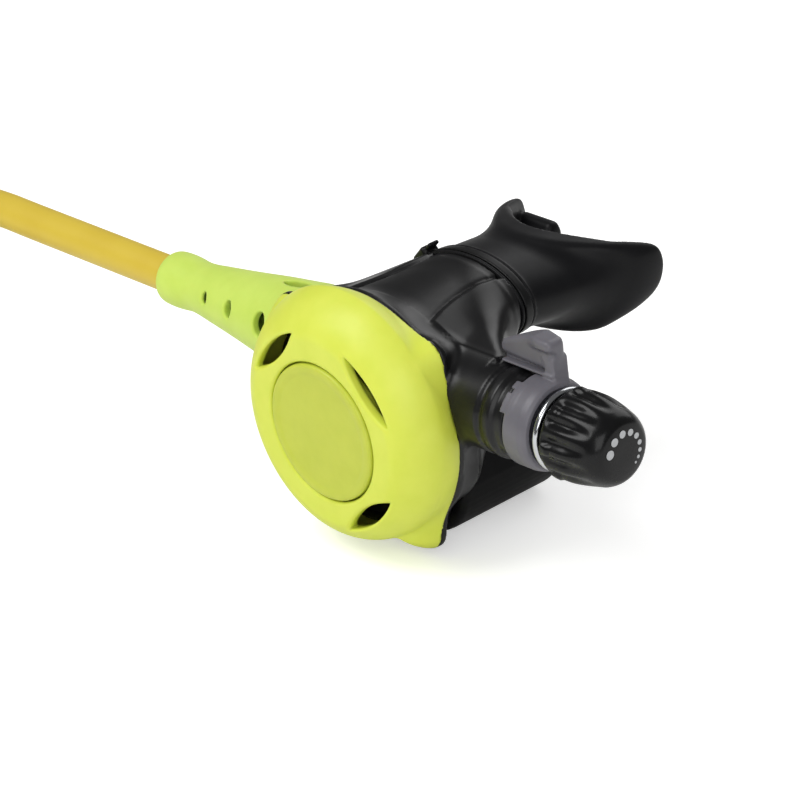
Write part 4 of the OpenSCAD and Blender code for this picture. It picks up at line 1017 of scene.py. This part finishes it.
def knobRadial(along, angles):
    k = knob
    if along <= k.start + k.plainStart or along > k.tip - k.plainTip:
        return 0 * angles
    up = along - k.start
    grow = ramp(up, *k.fluteUp) * ramp(-along, *k.fluteDown)
    turned = angles - radians(k.fluteOffset)
    wave = 0.5 + 0.5 * np.cos(k.flutes * turned)
    padWave = 0.5 + 0.5 * np.cos(k.pads * (turned - pi / k.flutes))
    pad = k.padRise * ramp(up, *k.padUp) * ramp(-along, *k.padDown) * (padWave > 1 - k.padShare)
    return pad - k.fluteDepth * grow * wave ** k.fluteSharp


def knobProfile():
    k = knob
    outer = [tuple(p) for p in smoothLine(k.outline, k.outlineSteps)]
    floor = k.start + k.socketDepth
    inner = [(k.start, k.socketR), (floor, k.socketR), (floor, 0)]
    return [(k.tip, r) for r in k.faceRings] + list(reversed(outer)) + inner


lathe("knobBody", knobProfile(), "knob", "adjustment_knob", knobRadial, knob.steps)

button = Sizes(
    radius=22.0, edge=1.1, edgeSteps=8, face=25.3, steps=144, thick=2, wall=1.8,
    flange=19.0, flangeHalf=1.5, flangeIn=0.6, flangeOut=2, plunger=3.0, plungerEnd=7.9,
    # radius and depth of points on the hollow face
    dish=((19.8, 0.02), (19.2, 0.12), (18.6, 0.28), (18.0, 0.35), (12, 0.33), (6, 0.3), (0, 0.3)),
)


def buttonProfile():
    b = button
    under, inner = b.face - b.thick, b.radius - b.wall
    back, front = b.flange - b.flangeHalf, b.flange + b.flangeHalf
    points = [(b.plungerEnd, 0), (b.plungerEnd, b.plunger), (under, b.plunger), (under, inner),
              (back, inner), (back, b.radius + b.flangeIn), (b.flange, b.radius + b.flangeOut),
              (front, b.radius + b.flangeOut), (front, b.radius)]
    for a in np.linspace(0, pi / 2, b.edgeSteps):
        points.append((b.face - b.edge + b.edge * sin(a), b.radius - b.edge + b.edge * cos(a)))
    return points + [(b.face - low, r) for r, low in b.dish]


lathe("purgeButton", buttonProfile(), "purge", "purge_button", None, button.steps, "cover")
nut = Sizes(
    steps=120,
    profile=[(67.6, 7.65), (67.6, 10.9), (70.2, 11.0), (70.4, 12.3), (70.7, 12.7), (71.2, 12.9),
             (71.8, 12.85), (72.3, 12.5), (72.5, 11.9), (72.5, 7.65), (67.6, 7.65)],
)
lathe("chromeRing", nut.profile, "root", "barrel_nut", None, nut.steps)

dots = Sizes(
    count=9, startAngle=-105.0, stepAngle=-38.0, ease=1.4, ringR=6.1, dotR=1.45, shrink=0.09,
    face=95.6, thick=0.12, sunk=0.02, corners=28,
)


def buildDots():
    # geometry nodes: a disc on each point of a ring, each a little smaller than the last
    tree = bpy.data.node_groups.new("knobDots", "GeometryNodeTree")
    d = dots
    dials = {"Count": d.count, "Start": radians(d.startAngle), "Step": radians(d.stepAngle),
             "Ease": radians(d.ease), "Ring": d.ringR * mm, "Dot": d.dotR * mm, "Shrink": d.shrink}
    sockets = {}
    for name, value in dials.items():
        kind = "NodeSocketInt" if isinstance(value, int) else "NodeSocketFloat"
        sockets[name] = tree.interface.new_socket(name, in_out="INPUT", socket_type=kind).identifier
    tree.interface.new_socket("Geometry", in_out="OUTPUT", socket_type="NodeSocketGeometry")
    given = addNode(tree, "NodeGroupInput")
    found = {name: given.outputs[name] for name in dials}
    found["index"] = addNode(tree, "GeometryNodeInputIndex")
    sums = {
        # name: operation, fixed inputs, linked inputs
        "stride": ("MULTIPLY_ADD", {}, {0: "index", 1: "Ease", 2: "Step"}),
        "turn": ("MULTIPLY_ADD", {}, {0: "index", 1: "stride", 2: "Start"}),
        "sine": ("SINE", {}, {0: "turn"}),
        "cosine": ("COSINE", {}, {0: "turn"}),
        "across": ("MULTIPLY", {}, {0: "sine", 1: "Ring"}),
        "down": ("MULTIPLY", {}, {0: "cosine", 1: "Ring"}),
        "low": ("SUBTRACT", {0: valveZ * mm}, {1: "down"}),
        "side": ("ADD", {1: valveY * mm}, {0: "across"}),
        "less": ("MULTIPLY", {}, {0: "index", 1: "Shrink"}),
        "scale": ("SUBTRACT", {0: 1.0}, {1: "less"}),
    }
    for name, (operation, fixed, linked) in sums.items():
        sources = {socket: found[source] for socket, source in linked.items()}
        found[name] = addNode(tree, "Math", {"operation": operation, **fixed}, sources)
    place = addNode(tree, "CombineXYZ", {"X": (dots.face + dots.thick / 2 - dots.sunk) * mm},
                    {"Y": found["side"], "Z": found["low"]})
    points = addNode(tree, "GeometryNodePoints", {}, {"Count": found["Count"], "Position": place})
    disc = addNode(tree, "GeometryNodeMeshCylinder", {"Vertices": dots.corners, "Depth": dots.thick * mm},
                   {"Radius": found["Dot"]})
    lay = addNode(tree, "GeometryNodeTransform", {"Rotation": (0, pi / 2, 0)},
                  {"Geometry": disc.outputs["Mesh"]})
    spread = addNode(tree, "GeometryNodeInstanceOnPoints", {},
                     {"Points": points, "Instance": lay, "Scale": found["scale"]})
    real = addNode(tree, "GeometryNodeRealizeInstances", {}, {"Geometry": spread})
    painted = addNode(tree, "GeometryNodeSetMaterial", {"Material": materials["dot_grey"]},
                      {"Geometry": real})
    addNode(tree, "NodeGroupOutput", {}, {"Geometry": painted})
    piece = show("knobDotRing", bpy.data.meshes.new("knobDotRing"))
    modifier = piece.modifiers.new("dots", "NODES")
    modifier.node_group = tree
    for name, value in dials.items():
        modifier[sockets[name]] = value
    graph = bpy.context.evaluated_depsgraph_get()
    graph.update()
    mesh = bpy.data.meshes.new_from_object(piece.evaluated_get(graph))
    piece.modifiers.clear()
    piece.data = mesh
    seat(piece, "knob", "knob_dots")
    print("dots printed", len(mesh.polygons))


buildDots()

studio = Sizes(
    floorHex="#f2f2f1", floorSize=6.0, floorGlow=0.45, worldStrength=0.48, glossStrength=0.12,
    plainStrength=1.0, aimHeight=0.04,   # metres
)
white = (1, 1, 1, 1)


def buildFloor():
    half = studio.floorSize / 2
    corners = [(x * half, y * half, 0) for x, y in ((-1, -1), (1, -1), (1, 1), (-1, 1))]
    mesh = bpy.data.meshes.new("floor")
    mesh.from_pydata(corners, [], [(0, 1, 2, 3)])
    floor = show("floor", mesh)
    material = bpy.data.materials.new("paleFloor")
    tree = emptyTree(material)
    paint = addNode(tree, "BsdfDiffuse", {"Color": toLinear(studio.floorHex)})
    bright = addNode(tree, "Emission", {"Color": white, "Strength": studio.floorGlow})
    rays = addNode(tree, "LightPath")
    lit = addNode(tree, "AddShader", {}, {0: paint, 1: bright})
    mix = addNode(tree, "MixShader", {}, {0: rays.outputs["Is Camera Ray"], 1: paint, 2: lit})
    addNode(tree, "OutputMaterial", {}, {"Surface": mix})
    mesh.materials.append(material)


def buildWorld():
    # soft light for the pieces, a dim room in their reflections, white behind them
    world = bpy.data.worlds.new("studio")
    bpy.context.scene.world = world
    tree = emptyTree(world)
    soft, dim, plain = (addNode(tree, "Background", {"Color": white, "Strength": studio[key]})
                        for key in ("worldStrength", "glossStrength", "plainStrength"))
    rays = addNode(tree, "LightPath")
    clear = addNode(tree, "Math", {"operation": "MAXIMUM"},
                    {0: rays.outputs["Is Camera Ray"], 1: rays.outputs["Is Transmission Ray"]})
    around = addNode(tree, "MixShader", {}, {0: rays.outputs["Is Glossy Ray"], 1: soft, 2: dim})
    mix = addNode(tree, "MixShader", {}, {0: clear, 1: around, 2: plain})
    addNode(tree, "OutputWorld", {}, {"Surface": mix})


lamps = {
    # name: place in metres, size in metres, power in watts
    "keyLamp": ((-0.35, -0.65, 1.1), 0.7, 7.2),
    "fillLamp": ((0.95, -0.8, 0.65), 0.9, 5.0),
    "rimLamp": ((-0.25, 1.0, 0.7), 0.9, 3.5),
}


def buildLamps():
    for name, (place, size, power) in lamps.items():
        data = bpy.data.lights.new(name, "AREA")
        data.size, data.energy = size, power
        lamp = show(name, data)
        lamp.location = place
        aim = Vector((0, 0, studio.aimHeight)) - Vector(place)
        lamp.rotation_euler = aim.to_track_quat("-Z", "Y").to_euler()


buildFloor()
buildWorld()
buildLamps()
bpy.context.scene.view_settings.view_transform = "Standard"
print("studio lit")
